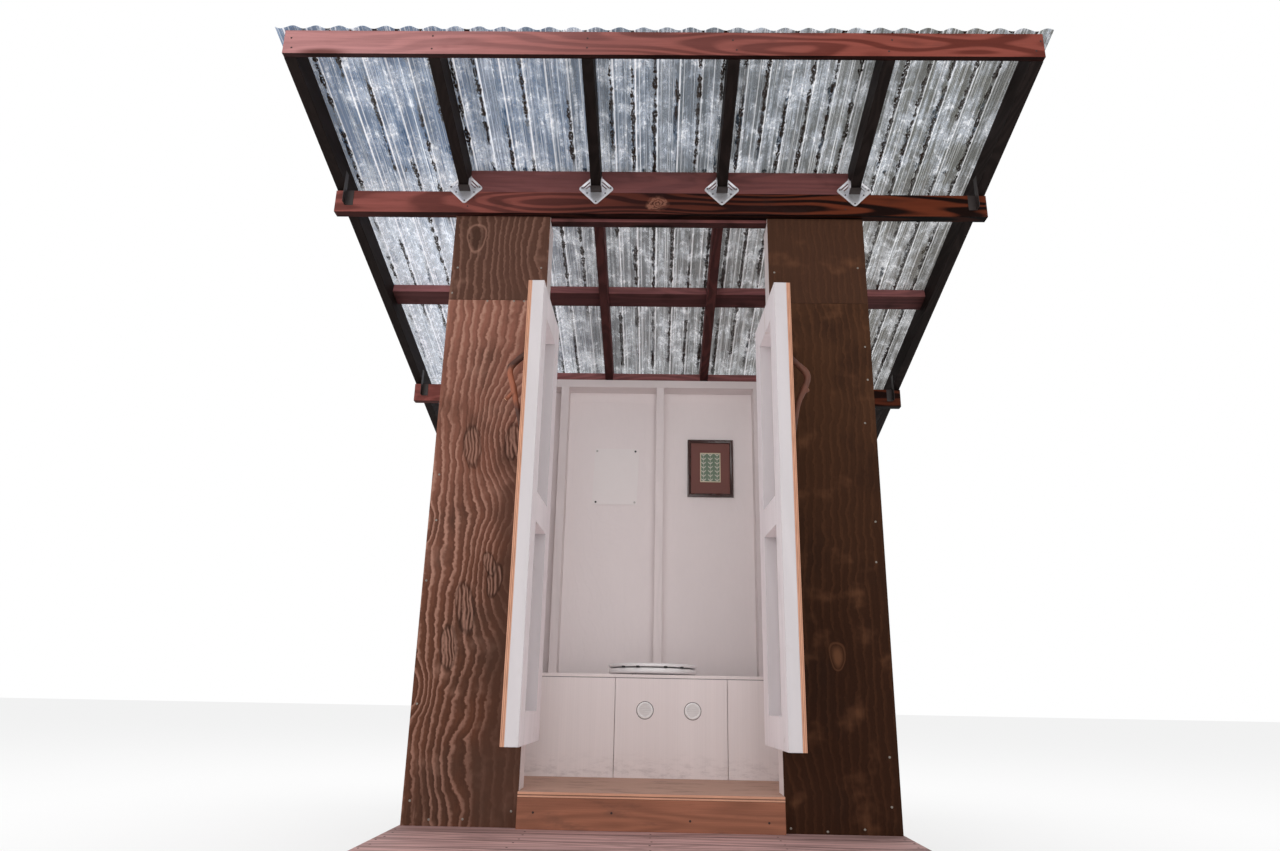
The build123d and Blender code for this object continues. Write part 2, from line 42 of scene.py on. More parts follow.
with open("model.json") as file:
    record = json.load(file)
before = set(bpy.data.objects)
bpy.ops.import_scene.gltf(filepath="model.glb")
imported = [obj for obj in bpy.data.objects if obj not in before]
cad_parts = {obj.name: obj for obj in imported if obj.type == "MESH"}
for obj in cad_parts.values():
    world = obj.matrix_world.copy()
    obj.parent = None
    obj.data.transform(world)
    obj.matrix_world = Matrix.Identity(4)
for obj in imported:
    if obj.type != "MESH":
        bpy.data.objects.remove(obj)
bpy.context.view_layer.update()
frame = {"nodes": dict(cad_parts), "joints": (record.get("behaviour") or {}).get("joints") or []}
nodes = frame["nodes"]

# Heights and faces that several pieces share, taken from the frame
beam_low, beam_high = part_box("front_beam")
fascia_low, fascia_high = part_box("fascia")
panel_low, panel_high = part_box("front_left_panel")
deck_low, deck_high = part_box("deck_boards")
floor_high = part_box("floor_panel")[1]
bench_low, bench_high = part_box("bench_top")
timber = beam_high.y - beam_low.y
timber_wide = beam_high.z - beam_low.z
wall_ply = panel_high.y - panel_low.y
rafter_places = (-0.731, -0.236, 0.236, 0.731)
board_pitch = 0.140
stud_pitch = 0.406
waves_per_sheet = 8
forward = (0, -1, 0)
sharp_angle = radians(38)
# A face looks along an axis when its normal's part along it is above this
square = 0.7

# How much a lapping sheet is raised, and how far a sunk screw head stands proud
lap_rise = 0.0013
sunk = 0.0006

# Cells that a piece's boards repeat in: two pitches across the grain, and their offsets
whole = (9.0, 9.0, 0.5, 0.5)
joists = (0.35, 9.0, 0.5, 0.5)


def colour(name, description, default):
    """A colour that a user may change."""
    return bpy.props.FloatVectorProperty(
        name=name, description=description, default=default, size=3, min=0.0, max=1.0, subtype="COLOR"
    )


def length(name, description, default):
    """A length in metres that a user may change."""
    return bpy.props.FloatProperty(
        name=name, description=description, default=default, min=0.0, unit="LENGTH", precision=4
    )


def angle(name, description, degrees):
    """An angle that a user may change."""
    return bpy.props.FloatProperty(
        name=name, description=description, default=radians(degrees), subtype="ANGLE"
    )


class StainSettings(bpy.types.PropertyGroup):
    """Colours of the stained timber and plywood"""

    # The pale left ends of the fascia and beams are a painted sheen of sky light on the stain
    fascia_sheen: colour("Fascia, faded", "Sun-faded end of the fascia", (0.4529, 0.2135, 0.2094))
    fascia_red: colour("Fascia, red", "Fresher end of the fascia", (0.1480, 0.0325, 0.0230))
    beam_sheen: colour("Beam, faded", "Faded end of the beams", (0.2312, 0.0698, 0.0586))
    beam_red: colour("Beam, red", "Fresher end of the beams", (0.022, 0.0063, 0.0038))
    ember: colour("Grain, glowing", "Red-orange arcs in the grain", (0.1965, 0.0416, 0.0162))
    strip: colour("Sheltered timber", "Blocks and rafters under the roof", (0.17, 0.0632, 0.0612))
    purlin: colour("Purlin", "Front faces of the purlins", (0.3200, 0.1270, 0.1270))
    # The rafters' near-black tone is painted shade: they lie in shade under the roof
    rafter: colour("Rafter", "Rafters, which the sun never reaches", (0.0218, 0.015, 0.0136))
    ply_light: colour("Plywood, light", "Left front panel, upper half", (0.2421, 0.1, 0.0707))
    ply_brown: colour("Plywood, brown", "Left front panel, lower half", (0.1176, 0.0462, 0.0275))
    ply_line: colour("Plywood, grain line", "Pale lines of the grain", (0.3944, 0.2108, 0.1564))
    ply_upper: colour("Plywood, upper", "Panels above the seam", (0.0898, 0.0412, 0.0288))
    # The right panels' darker tones are partly darker stain and partly painted shade
    ply_dark_and_shaded: colour("Plywood, dark", "Right front panel", (0.0324, 0.0122, 0.006))
    ply_right_and_shaded: colour("Plywood, right", "Right panel above the seam", (0.0585, 0.0258, 0.015))


class PaintSettings(bpy.types.PropertyGroup):
    """Colours of the painted, bare and small pieces"""

    white: colour("White paint", "Painted studs, plates and bench", (0.85, 0.77, 0.765))
    door: colour("Door paint", "Painted frames of the doors", (0.92, 0.85, 0.87))
    wall: colour("Wall paint", "Painted inner faces of the walls", (0.945, 0.87, 0.865))
    ply_edge: colour("Plywood edge", "Bare edges of the plywood", (0.598, 0.3055, 0.2015))
    fir: colour("Bare fir", "Toe board", (0.274, 0.1051, 0.0612))
    floor: colour("Floor plywood", "Walked-on plywood of the floor", (0.56, 0.345, 0.265))
    deck: colour("Deck", "Weathered deck boards", (0.4915, 0.2982, 0.2829))
    sheet: colour("Roof sheet", "Clear corrugated sheet, in shade", (0.066, 0.138, 0.24))
    litter: colour("Litter", "Leaves and needles on the roof", (0.026, 0.018, 0.013))
    steel: colour("Galvanised steel", "Hangers and hinges", (0.80, 0.79, 0.82))
    bark: colour("Bark", "Branch handles", (0.0715, 0.0273, 0.0182))
    peeled: colour("Peeled wood", "Handles where the bark is off", (0.299, 0.0975, 0.052))
    plastic: colour("White plastic", "Seat, lid and vents", (0.95, 0.93, 0.93))
    mat: colour("Picture mat", "Mat inside the picture frame", (0.19, 0.075, 0.062))
    print_green: colour("Print, green", "Ground of the printed leaves", (0.075, 0.150, 0.085))


class SizeSettings(bpy.types.PropertyGroup):
    """Sizes of the pieces that the frame doesn't hold"""

    screw_head: length("Screw head", "Diameter of a screw head", 0.0075)
    screw_pitch: length("Screw spacing", "Distance between screws along a panel's edge", 0.29)
    wave_pitch: length("Wave pitch", "Distance from crest to crest of a sheet", 0.0762)
    wave_depth: length("Wave depth", "Depth of a sheet's waves", 0.0164)
    sheet_thickness: length("Sheet thickness", "Thickness of a roof sheet", 0.0011)
    roof_slope: angle("Roof slope", "Pitch of the roof", 14.036)
    hanger: length("Hanger", "Side of a square hanger plate", 0.096)
    hanger_rise: length("Hanger rise", "Height of a plate's middle above the beam", 0.015)
    leaf: length("Leaf", "Length of a fallen leaf", 0.032)
    notice_width: length("Notice width", "Width of the paper on the back wall", 0.216)
    notice_height: length("Notice height", "Height of the paper on the back wall", 0.279)
    moulding: length("Moulding", "Width of the picture's moulding", 0.017)


class CameraSettings(bpy.types.PropertyGroup):
    """The photograph's own viewpoint"""

    place: bpy.props.FloatVectorProperty(
        name="Place",
        description="Where the camera stands",
        default=(-0.00005, -3.49056, 0.50782),
        size=3,
        subtype="TRANSLATION",
        unit="LENGTH",
    )
    rise: angle("Rise", "How far the camera looks up", 17.4968)
    turn: angle("Turn", "How far the camera looks to the left", 1.0982)
    roll: angle("Roll", "How far the camera leans", 1.0845)
    focal: bpy.props.FloatProperty(
        name="Focal length",
        description="In millimetres on a 36 mm film",
        default=24.371,
        min=1.0,
        unit="CAMERA",
    )


def math_node(operation, reflected=False):
    """A method of a wire that adds one Math node."""

    def method(wire, *others):
        values = (*others, wire) if reflected else (wire, *others)
        return wire.finish.add("ShaderNodeMath", {"operation": operation}, dict(enumerate(values)))

    return method


class Wire:
    """A socket that gives a value or colour, on which arithmetic adds Math nodes."""

    __add__ = math_node("ADD")
    __radd__ = math_node("ADD", reflected=True)
    __sub__ = math_node("SUBTRACT")
    __rsub__ = math_node("SUBTRACT", reflected=True)
    __mul__ = math_node("MULTIPLY")
    __rmul__ = math_node("MULTIPLY", reflected=True)
    __truediv__ = math_node("DIVIDE")
    __rtruediv__ = math_node("DIVIDE", reflected=True)
    __pow__ = math_node("POWER")
    __gt__ = math_node("GREATER_THAN")
    __lt__ = math_node("LESS_THAN")
    __abs__ = math_node("ABSOLUTE")
    sine = math_node("SINE")
    root = math_node("SQRT")
    floor = math_node("FLOOR")
    fraction = math_node("FRACT")
    larger = math_node("MAXIMUM")
    smaller = math_node("MINIMUM")

    def __init__(self, finish, node, output):
        self.finish = finish
        self.node = node
        self.socket = node.outputs[output]

    def __neg__(self):
        return self * -1.0

    def output(self, name):
        return Wire(self.finish, self.node, name)


class Nodes:
    """A node tree that is being filled."""

    def __init__(self, owner):
        owner.use_nodes = True
        self.tree = owner.node_tree
        self.tree.nodes.clear()

    def add(self, kind, settings=None, sockets=None, output=0):
        """Add a node: its settings first, then the values or links of its sockets."""
        node = self.tree.nodes.new(kind)
        for name, value in (settings or {}).items():
            setattr(node, name, value)
        for name, value in (sockets or {}).items():
            socket = node.inputs[name]
            if isinstance(value, Wire):
                self.tree.links.new(value.socket, socket)
            else:
                socket.default_value = (*value, 1.0) if socket.type == "RGBA" else value
        return Wire(self, node, output) if node.outputs else None


class Finish(Nodes):
    """A material that is being made from nodes, and its tone so far."""

    def __init__(self, name, tone=None):
        self.material = bpy.data.materials.new(name)
        super().__init__(self.material)
        self.paint = bpy.context.scene.outhouse_paint
        self.tone = tone
        self.x, self.y, self.z = self.axes("Object")
        self.facing_x, self.facing_y, self.facing_z = self.axes("Normal")

    def axes(self, output):
        """The three values of a texture coordinate."""
        parted = self.add("ShaderNodeSeparateXYZ", sockets={0: self.add("ShaderNodeTexCoord", output=output)})
        return parted, parted.output("Y"), parted.output("Z")

    def vector(self, x, y, z):
        return self.add("ShaderNodeCombineXYZ", sockets={0: x, 1: y, 2: z})

    def noise(self, vector, detail=2.0, roughness=0.5):
        values = {"Vector": vector, "Scale": 1.0, "Detail": detail, "Roughness": roughness}
        return self.add("ShaderNodeTexNoise", sockets=values)

    def cloud(self, scales, detail=2.0, roughness=0.5, shift=(0, 0, 0)):
        """Noise over the object's own coordinates, each scaled and shifted; a scale of 0 leaves the shift."""
        parts = []
        for axis, scale, move in zip((self.x, self.y, self.z), scales, shift):
            part = axis * scale if scale else move
            parts.append(part + move if scale and move else part)
        return self.noise(self.vector(*parts), detail, roughness)

    def cells(self, vector, scale=5.0, output=0):
        """Distance to the nearest of scattered points, or another output."""
        return self.add("ShaderNodeTexVoronoi", {"feature": "F1"}, {"Vector": vector, "Scale": scale}, output)

    def ramp(self, value, low, high):
        """Rise smoothly from 0 to 1 between two values."""
        settings = {"interpolation_type": "SMOOTHSTEP"}
        return self.add("ShaderNodeMapRange", settings, {0: value, 1: low, 2: high})

    def fall(self, value, low, high):
        """Fall smoothly from 1 to 0 between two values."""
        return 1.0 - self.ramp(value, low, high)

    def near_floor(self, height):
        """1 at the floor, and 0 from a height above it."""
        return self.fall(self.z, floor_high.z, floor_high.z + height)

    def mix(self, factor, a, b):
        return self.add("ShaderNodeMix", {"data_type": "RGBA"}, {0: factor, 6: a, 7: b}, output=2)

    def shade(self, tone, amount):
        """Scale a colour by a value."""
        return self.add("ShaderNodeVectorMath", {"operation": "SCALE"}, {0: tone, 3: amount})

    def dim(self, *amounts):
        """Scale the tone so far by each of some values."""
        for amount in amounts:
            self.tone = self.shade(self.tone, amount)

    def lay(self, factor, tone):
        """Lay another tone over the tone so far."""
        self.tone = self.mix(factor, self.tone, tone)

    def rounded(self, radius):
        """A normal that looks rounded along sharp edges."""
        return self.add("ShaderNodeBevel", {"samples": 4}, {"Radius": radius})

    def bump(self, height, distance, strength=1.0, rounding=0.0):
        values = {"Strength": strength, "Distance": distance, "Height": height}
        if rounding:
            values["Normal"] = self.rounded(rounding)
        return self.add("ShaderNodeBump", sockets=values)

    def surface(self, roughness, normal, specular=0.5, **constants):
        """Close the material with one Principled shader."""
        values = {"Base Color": self.tone, "Roughness": roughness, "Normal": normal}
        values["Specular IOR Level"] = specular
        for name, value in constants.items():
            values[name.replace("_", " ").title()] = value
        shader = self.add("ShaderNodeBsdfPrincipled", sockets=values)
        self.add("ShaderNodeOutputMaterial", sockets={"Surface": shader})
        return self.material

    def along(self, axis):
        """Coordinates with the grain's direction first."""
        x, y, z = self.x, self.y, self.z
        return {"x": (x, y, z), "y": (y, x, z), "z": (z, x, y)}[axis]

    def board(self, axis, cell, seed):
        """A number from 0 to 1 for each board, where boards repeat at a pitch across the grain."""
        b, c = self.along(axis)[1:]
        row = self.vector((b / cell[0] + cell[2]).floor(), (c / cell[1] + cell[3]).floor(), seed)
        return self.add("ShaderNodeTexWhiteNoise", {"noise_dimensions": "3D"}, {"Vector": row})

    def grain(self, axis, cell, seed, rings=9.0, wide=7.0, long=0.9):
        """Contour bands like those of a sawn board, its fine fibres, its knots and its own number."""
        a, b, c = self.along(axis)
        own = self.board(axis, cell, seed)
        shift = own * 37.0 + seed
        knot_far = self.cells(self.vector(a * 1.5 + shift, b * 8.0 + shift, c * 8.0), 1.0)
        knot = self.fall(knot_far, 0.05, 0.17)
        swirl = self.fall(knot_far, 0.0, 0.42)
        field = self.noise(self.vector(a * long + shift, b * wide, c * wide), 1.5, 0.4)
        wobble = self.noise(self.vector(a * 7.0 + shift, b * 30.0, c * 30.0))
        band = ((field * rings + swirl * 1.6 + wobble * 0.22) * tau).sine() * 0.5 + 0.5
        fibre = self.noise(self.vector(a * 9.0 + shift, b * 330.0, c * 330.0), 2.0, 0.6)
        return band, fibre, knot, own


def stained_timber(
    name, axis, cell, tones, seed, streak, underside_shade, painted_inside=False, sunny=None, burl=None
):
    """Red-brown stain over softwood, its left end paled by a painted sheen, with painted shade where it faces
    down.
    """
    f = Finish(name)
    pale, red, dark, ember = tones
    band, fibre, knot, own = f.grain(axis, cell, seed, rings=15.0)
    drift = f.cloud((1.3, 2.0, 5.0), shift=(0, 0, seed))
    # Painted sheen: the stain pales towards the left end
    less_sheen = f.ramp(f.x + drift - 0.5, -1.2, 0.7)
    f.tone = f.mix(less_sheen, pale, red)
    glow = f.ramp(band, 0.25, 0.95)
    figure = (0.40 + less_sheen * 0.60) * streak
    f.dim(1.0 - figure * 0.45 + glow * figure * 0.9)
    f.lay(glow * streak * less_sheen * 0.42, ember)
    a, b, c = f.along(axis)
    brush = f.noise(f.vector(a * 2.4 + seed, b * 62.0, c * 62.0), 4.0, 0.65)
    f.dim(0.55 + fibre * 0.40 + brush * 0.50, 0.88 + own * 0.24)
    middle = f.fall(abs(f.x - 0.05), 0.15, 0.60)
    f.dim(1.0 - middle * streak * 0.32)
    cloud = f.cloud((5.0, 5.0, 11.0), 3.0, 0.6, shift=(seed, 0, 0))
    f.lay(f.ramp(cloud, 0.54, 0.78) * 0.60, dark)
    f.lay(knot * 0.85, dark)
    # Painted shade on faces that look down
    below = f.ramp(-f.facing_z, 0.5, 0.9)
    f.dim(1.0 - below * underside_shade)
    if burl:
        burl_x, burl_z, size = burl
        off_x = (f.x - burl_x) / size
        off_z = (f.z - burl_z) / size
        twist = f.noise(f.vector(f.x * 34.0, f.z * 34.0, seed), 3.0, 0.6)
        far = (off_x * off_x + off_z * off_z * 1.5).root() + twist * 1.1 - 0.55
        inside = f.fall(far, 0.6, 1.0)
        curl = inside * ((far * 2.6 + twist * 1.5) * tau).sine() * 0.5 + 0.5
        f.lay(inside * (curl * 0.80 + 0.12), (0.2516, 0.1061, 0.0707))
    # Outward faces of the outer rafters take the beam's sheen-painted tone in place of the rafters' painted
    # shade
    if sunny is not None:
        f.lay((f.facing_x * f.x) > 0.7, f.shade(sunny, 0.5 + fibre * 0.5 + brush * 0.5))
    if painted_inside:
        paint_wall(f, (f.facing_y < -square) * (abs(f.x) < -panel_low.x), seed)
    normal = f.bump(band * 0.35 + fibre * 0.65, 0.0008, 0.5, 0.0025)
    return f.surface(0.56 + fibre * 0.2, normal, specular=0.06)


def end_plies(f, through, low, seed):
    """Layers of bare plywood across a panel's thickness."""
    ply = ((through - low) / wall_ply * 2.5).fraction()
    streak = f.cloud((60.0, 60.0, 14.0), 3.0, 0.6, shift=(seed, 0, 0))
    edge = f.shade(f.paint.ply_edge, 0.62 + streak * 0.7)
    return f.shade(edge, 1.0 - (ply > 0.5) * 0.34)


def boat_patch(f, x, z, wide, tall, lean):
    """An oval plug let into a plywood face: its mask, its rim and stripes of its own grain."""
    ragged = f.noise(f.vector(f.x * 60.0, f.z * 30.0, z * 9.0), 1.0) * 0.30 - 0.15
    far = distance((f.x - x + (f.z - z) * lean) / (wide / 2), (f.z - z) / (tall / 2)) + ragged
    mask = f.fall(far, 0.84, 1.0)
    rim = f.ramp(far, 0.78, 0.92) * f.fall(far, 0.98, 1.15)
    wave = f.noise(f.vector(f.x * 20.0, f.z * 12.0, x * 9.0))
    stripes = ((f.x * 82.0 + f.z * 9.0 + wave * 2.4) * tau).sine() * 0.5 + 0.5
    return mask, rim, stripes


def distance(across, up):
    """How far a place lies from a middle."""
    return (across * across + up * up).root()


def plywood_face(
    f, u, tones, seed, lines, contrast, rate=21.0, mottle=0.3, patches=(), swells=(), door_shadow=None, knots=()
):
    """Rotary-cut veneer under stain: pale wavy contour lines, clouds of darker stain, oval plugs."""
    low_tone, high_tone, line_tone, dark = tones

    def veneer(across, up, shift, detail=2.0, roughness=0.5):
        return f.noise(f.vector(u * across, f.z * up, seed + shift), detail, roughness)

    bend = f.noise(f.vector(u * 1.6 + seed, f.z * 0.8, seed), 1.0, 0.35)
    wave = f.noise(f.vector(u * 5.0 + seed, f.z * 4.2, seed + 3.0))
    notch = veneer(12.0, 15.0, 9.0, 2.0, 0.55)
    rings = u * rate + bend * lines + wave * 2.3 + notch * 0.85 + veneer(46.0, 60.0, 1.0, 2.0, 0.6) * 0.50
    for x, z, wide, tall, strength in swells:
        # A smooth hill or hollow that bends the grain round it
        rings = rings + f.fall(distance((u - x) / wide, (f.z - z) / tall), 0.0, 1.0) * strength
    step = rings.fraction()
    strong = veneer(6.0, 1.8, 4.0)
    fibre = veneer(380.0, 9.0, 0.0, 3.0, 0.65)
    vein = veneer(120.0, 12.0, 5.0, 3.0, 0.7)
    line = f.ramp(step, 0.0, 0.09) * f.fall(step, 0.14, 0.50) * f.ramp(strong + vein * 0.3, 0.38, 0.66)
    line = line * (0.45 + vein * 1.1) * (0.62 + f.ramp(f.z, 0.25, 0.95) * 0.38)
    shadow = f.ramp(step, 0.62, 0.94) * f.fall(step, 0.95, 1.0)
    check = veneer(800.0, 22.0, 2.0, 2.0, 0.7)
    f.tone = f.mix(f.ramp(f.z + strong * 0.7 - 0.35, 0.50, 1.80), low_tone, high_tone)
    cloud = veneer(4.0, 2.6, 7.0, 4.0, 0.62)
    f.lay(f.ramp(cloud, 0.46, 0.70) * 0.68, dark)
    warm = veneer(7.0, 8.0, 11.0, 3.0, 0.55)
    f.lay(f.ramp(warm, 0.54, 0.76) * mottle, line_tone)
    f.dim(0.62 + fibre * 0.44 + vein * 0.32)
    # Painted shadow of the left door: darker, with fainter grain lines
    if door_shadow:
        left, top = door_shadow
        in_door_shadow = f.ramp(u + cloud * 0.24 - 0.12, left, left + 0.09)
        in_door_shadow = in_door_shadow * f.fall(f.z + warm * 0.5 - 0.25, top, top + 0.16)
        f.lay(in_door_shadow * 0.60, dark)
        line = line * (1.0 - in_door_shadow * 0.85)
        shadow = shadow * (1.0 - in_door_shadow * 0.85)
    f.lay((line * contrast).smaller(1.0), line_tone)
    f.dim(1.0 - shadow * contrast * 0.30, 1.0 - f.ramp(check, 0.60, 0.80) * 0.24)
    for place in patches:
        mask, rim, stripes = boat_patch(f, *place)
        f.lay(mask * 0.9, f.mix(stripes**1.5 * 0.75, f.shade(f.tone, 0.62), line_tone))
        f.dim(1.0 - rim * 0.40)
    for x, z, wide, tall, fill in knots:
        up = (f.z - z) / (tall / 2)
        far = distance((u - x) / (wide / 2) * (1.10 - up * 0.28), up) + notch * 0.5 - 0.25
        outline = f.ramp(far, 0.74, 0.84) * f.fall(far, 0.88, 1.0)
        f.dim(1.0 - f.fall(far, 0.5, 0.8) * 0.25)
        f.lay((outline * 0.36).larger(f.fall(far, 0.3, 0.9) * fill), line_tone)
    return line * 0.5 + fibre * 0.5


# Screws of the front panels: x and z
front_screws = (
    (-0.740, 2.015), (-0.752, 1.912), (-0.431, 2.017), (-0.620, 1.881), (-0.523, 1.882), (-0.486, 1.882),
    (-0.739, 1.227), (-0.735, 1.069), (-0.750, 0.867), (-0.744, 0.480), (-0.739, 0.197), (-0.676, 0.145),
    (-0.573, 0.148), (-0.426, 0.173), (0.427, 2.008), (0.733, 2.029), (0.741, 1.717), (0.743, 1.592),
    (0.724, 1.432), (0.738, 1.086), (0.732, 0.951), (0.735, 0.349), (0.732, 0.207), (0.647, 0.143),
    (0.535, 0.135), (0.424, 0.142),
)
# Oval plugs in the left front panel: middle x and z, width, height, lean
left_patches = (
    (-0.633, 1.330, 0.060, 0.150, 0.10),
    (-0.495, 1.347, 0.052, 0.135, -0.05),
    (-0.615, 0.780, 0.062, 0.165, 0.16),
    (-0.525, 0.873, 0.050, 0.110, -0.10),
    (-0.660, 0.654, 0.054, 0.140, 0.05),
    (-0.545, 0.925, 0.040, 0.080, 0.30),
)
# Hills and hollows in the same panel's grain: middle x and z, half width, half height, rings
left_swells = (
    (-0.470, 1.370, 0.230, 0.330, 4.2),
    (-0.500, 0.900, 0.150, 0.280, 2.6),
    (-0.775, 1.060, 0.070, 0.110, -1.8),
    (-0.755, 0.520, 0.080, 0.130, -2.2),
    (-0.640, 0.300, 0.100, 0.220, 1.4),
)


def stained_plywood(name, axis, side, face, tones, seed, lines, contrast, white_edges, **figure):
    """A wall panel: stained outside, painted inside, bare or painted on its edges."""
    f = Finish(name)
    across, through, outward = (f.x, f.y, f.facing_y) if axis == "y" else (f.y, f.x, f.facing_x)
    height = plywood_face(f, across, tones, seed, lines, contrast, **figure)
    edge = end_plies(f, through, face, seed)
    edge = f.mix(abs(f.facing_z) > square, edge, (0.0816, 0.0435, 0.0299))
    if white_edges:
        worn = f.cloud((30.0, 30.0, 6.0), 3.0) * 0.12
        edge = f.mix(worn.larger(abs(f.facing_z) > square), f.paint.white, edge)
    f.tone = f.mix(abs(outward) > square, edge, f.tone)
    paint_wall(f, (outward * side) > square, seed)
    normal = f.bump(height, 0.0009, 0.55, 0.0012)
    return f.surface(0.64 + height * 0.15, normal, specular=0.05)


def paint_wall(f, where, seed):
    """White paint on plywood, a little uneven, with dirt low down, where a mask is 1."""
    under = f.tone
    roll = f.cloud((2.2, 2.2, 1.4), 3.0, shift=(0, 0, seed))
    fine = f.cloud((70.0, 70.0, 20.0), 2.0, 0.6)
    f.tone = f.paint.wall
    f.dim(0.94 + roll * 0.10, 0.985 + fine * 0.03)
    scuff = f.cloud((16.0, 16.0, 40.0), 4.0, 0.7, shift=(0, 0, seed))
    f.lay(f.ramp(scuff, 0.52, 0.75) * f.near_floor(0.30) * 0.35, (0.22, 0.16, 0.13))
    f.tone = f.mix(where, under, f.tone)


def painted_timber(name, axis, cell, seed, white, forward_shade=0.0):
    """White paint over sawn timber: grain and knots show faintly, and faces that look forward get painted
    shade.
    """
    f = Finish(name, white)
    band, fibre, knot, own = f.grain(axis, cell, seed, rings=6.0)
    f.dim(0.94 + own * 0.08, 0.965 + band * 0.05)
    f.lay(knot * 0.25, (0.55, 0.40, 0.28))
    # Painted shade on the faces that look forward
    f.dim(1.0 - (f.facing_y < -square) * forward_shade)
    scuff = f.cloud((20.0, 20.0, 26.0), 4.0, 0.7, shift=(seed, 0, 0))
    f.lay(f.ramp(scuff, 0.58, 0.76) * (f.near_floor(0.35) * 0.40 + 0.06), (0.30, 0.21, 0.16))
    normal = f.bump(band * 0.3 + fibre * 0.7, 0.0005, 0.4, 0.003)
    return f.surface(0.55 + fibre * 0.1, normal, specular=0.35)


def bench_paint(name, seed):
    """White paint on the bench's plywood, with the veneer's fine upright lines."""
    f = Finish(name)
    fine = f.cloud((230.0, 230.0, 2.0), 2.0, 0.6, shift=(0, 0, seed))
    broad = f.cloud((26.0, 5.0, 0.8), shift=(0, 0, seed))
    f.tone = f.shade(f.paint.white, 0.94 + fine * 0.09 + broad * 0.09)
    # Painted shadow: a dark line on the front panels just under the edge of the bench top
    seam = (abs(f.z - bench_low.z + 0.001) < 0.0014) * (f.facing_y < -square)
    f.dim(1.0 - seam * 0.75)
    kick = f.cloud((22.0, 22.0, 60.0), 4.0, 0.72)
    f.lay(f.ramp(kick, 0.45, 0.70) * f.near_floor(0.11) * 0.26, (0.24, 0.18, 0.19))
    return f.surface(0.52, f.bump(fine, 0.0004, 0.45, 0.0015), specular=0.35)


def bare_fir(name, axis, cell, tone, seed):
    """Bare softwood, orange where it is fresh and dented by feet."""
    f = Finish(name, tone)
    band, fibre, knot = f.grain(axis, cell, seed, rings=11.0, wide=9.0)[:3]
    f.dim(0.84 + band * 0.28, 0.80 + fibre * 0.40)
    stain = f.cloud((6.0, 6.0, 22.0), 4.0, 0.65, shift=(seed, 0, 0))
    f.lay(f.ramp(stain, 0.52, 0.74) * 0.55, (0.11, 0.05, 0.035))
    f.lay(knot * 0.80, (0.060, 0.026, 0.018))
    return f.surface(0.68, f.bump(band * 0.4 + fibre * 0.6, 0.0010, 0.5, 0.003), specular=0.25)


def floor_plywood(name):
    """The floor: worn plywood above, layered edge at the doorway."""
    f = Finish(name)
    fibre = f.noise(f.vector(f.x * 14.0, f.y * 300.0, f.z), 3.0, 0.6)
    worn = f.cloud((7.0, 12.0, 0), 4.0, 0.65, shift=(0, 0, 3.0))
    f.tone = f.shade(f.paint.floor, 0.74 + fibre * 0.42)
    f.lay(f.ramp(worn, 0.50, 0.72) * 0.5, (0.17, 0.10, 0.075))
    spot = f.cells(f.vector(f.x * 16.0, f.y * 22.0, 1.0))
    f.lay((spot < 0.035) * 0.8, (0.03, 0.02, 0.016))
    edge = f.shade(f.paint.ply_edge, 0.70 + worn * 0.5)
    seams = (abs(f.z - floor_high.z + 0.0085) < 0.0016).larger(f.z < floor_high.z - 0.0150)
    edge = f.shade(edge, 1.0 - seams * 0.72)
    f.tone = f.mix(abs(f.facing_z) > square, edge, f.tone)
    return f.surface(0.70, f.bump(fibre * 0.6 + worn * 0.4, 0.0012, 0.5, 0.002), specular=0.25)


def weathered_boards(name, cell, seed):
    """Deck boards: grey-pink, grooved by weather, each a little different."""
    f = Finish(name)
    band, fibre, knot, own = f.grain("x", cell, seed, rings=8.0, wide=8.0)
    across = (f.y / cell[0] + cell[2]).fraction() - 0.5
    worn = f.cloud((9.0, 40.0, 0), 3.0, 0.6, shift=(0, 0, seed))
    f.tone = f.shade(f.paint.deck, 0.70 + band * 0.42)
    # Painted shade along the edges of each board, where the boards meet
    gap_shade = f.ramp(abs(across) + worn * 0.10 - 0.05, 0.40, 0.49) * (f.facing_z > square)
    f.dim(1.0 - gap_shade * 0.55, 0.72 + fibre * 0.50, 0.84 + own * 0.32)
    grime = f.cloud((4.0, 10.0, 10.0), 4.0, 0.65, shift=(0, 0, seed))
    f.lay(f.ramp(grime, 0.52, 0.75) * 0.55, (0.15, 0.095, 0.085))
    split = f.cloud((5.0, 150.0, 150.0))
    f.lay(f.ramp(split, 0.70, 0.76) * 0.7, (0.05, 0.032, 0.028))
    f.lay(knot * 0.75, (0.08, 0.045, 0.036))
    return f.surface(0.74, f.bump(fibre * 0.6 + band * 0.4, 0.0018, 0.6, 0.004), specular=0.25)


def galvanised(name, seed):
    """Zinc-coated steel with faint spangles and rubbed, dulled places."""
    f = Finish(name)
    spangle = f.cells(f.vector(f.x * 120.0, f.y * 120.0, f.z * 120.0 + seed), output="Color")
    glint = f.add("ShaderNodeSeparateColor", sockets={0: spangle})
    dull = f.cloud((28.0, 28.0, 28.0), 3.0, 0.6)
    f.tone = f.shade(f.paint.steel, 0.84 + glint * 0.18)
    f.lay(f.ramp(dull, 0.52, 0.75) * 0.35, (0.36, 0.34, 0.35))
    return f.surface(0.34 + glint * 0.10 + dull * 0.18, f.bump(glint, 0.0002, 0.25), metallic=0.75)


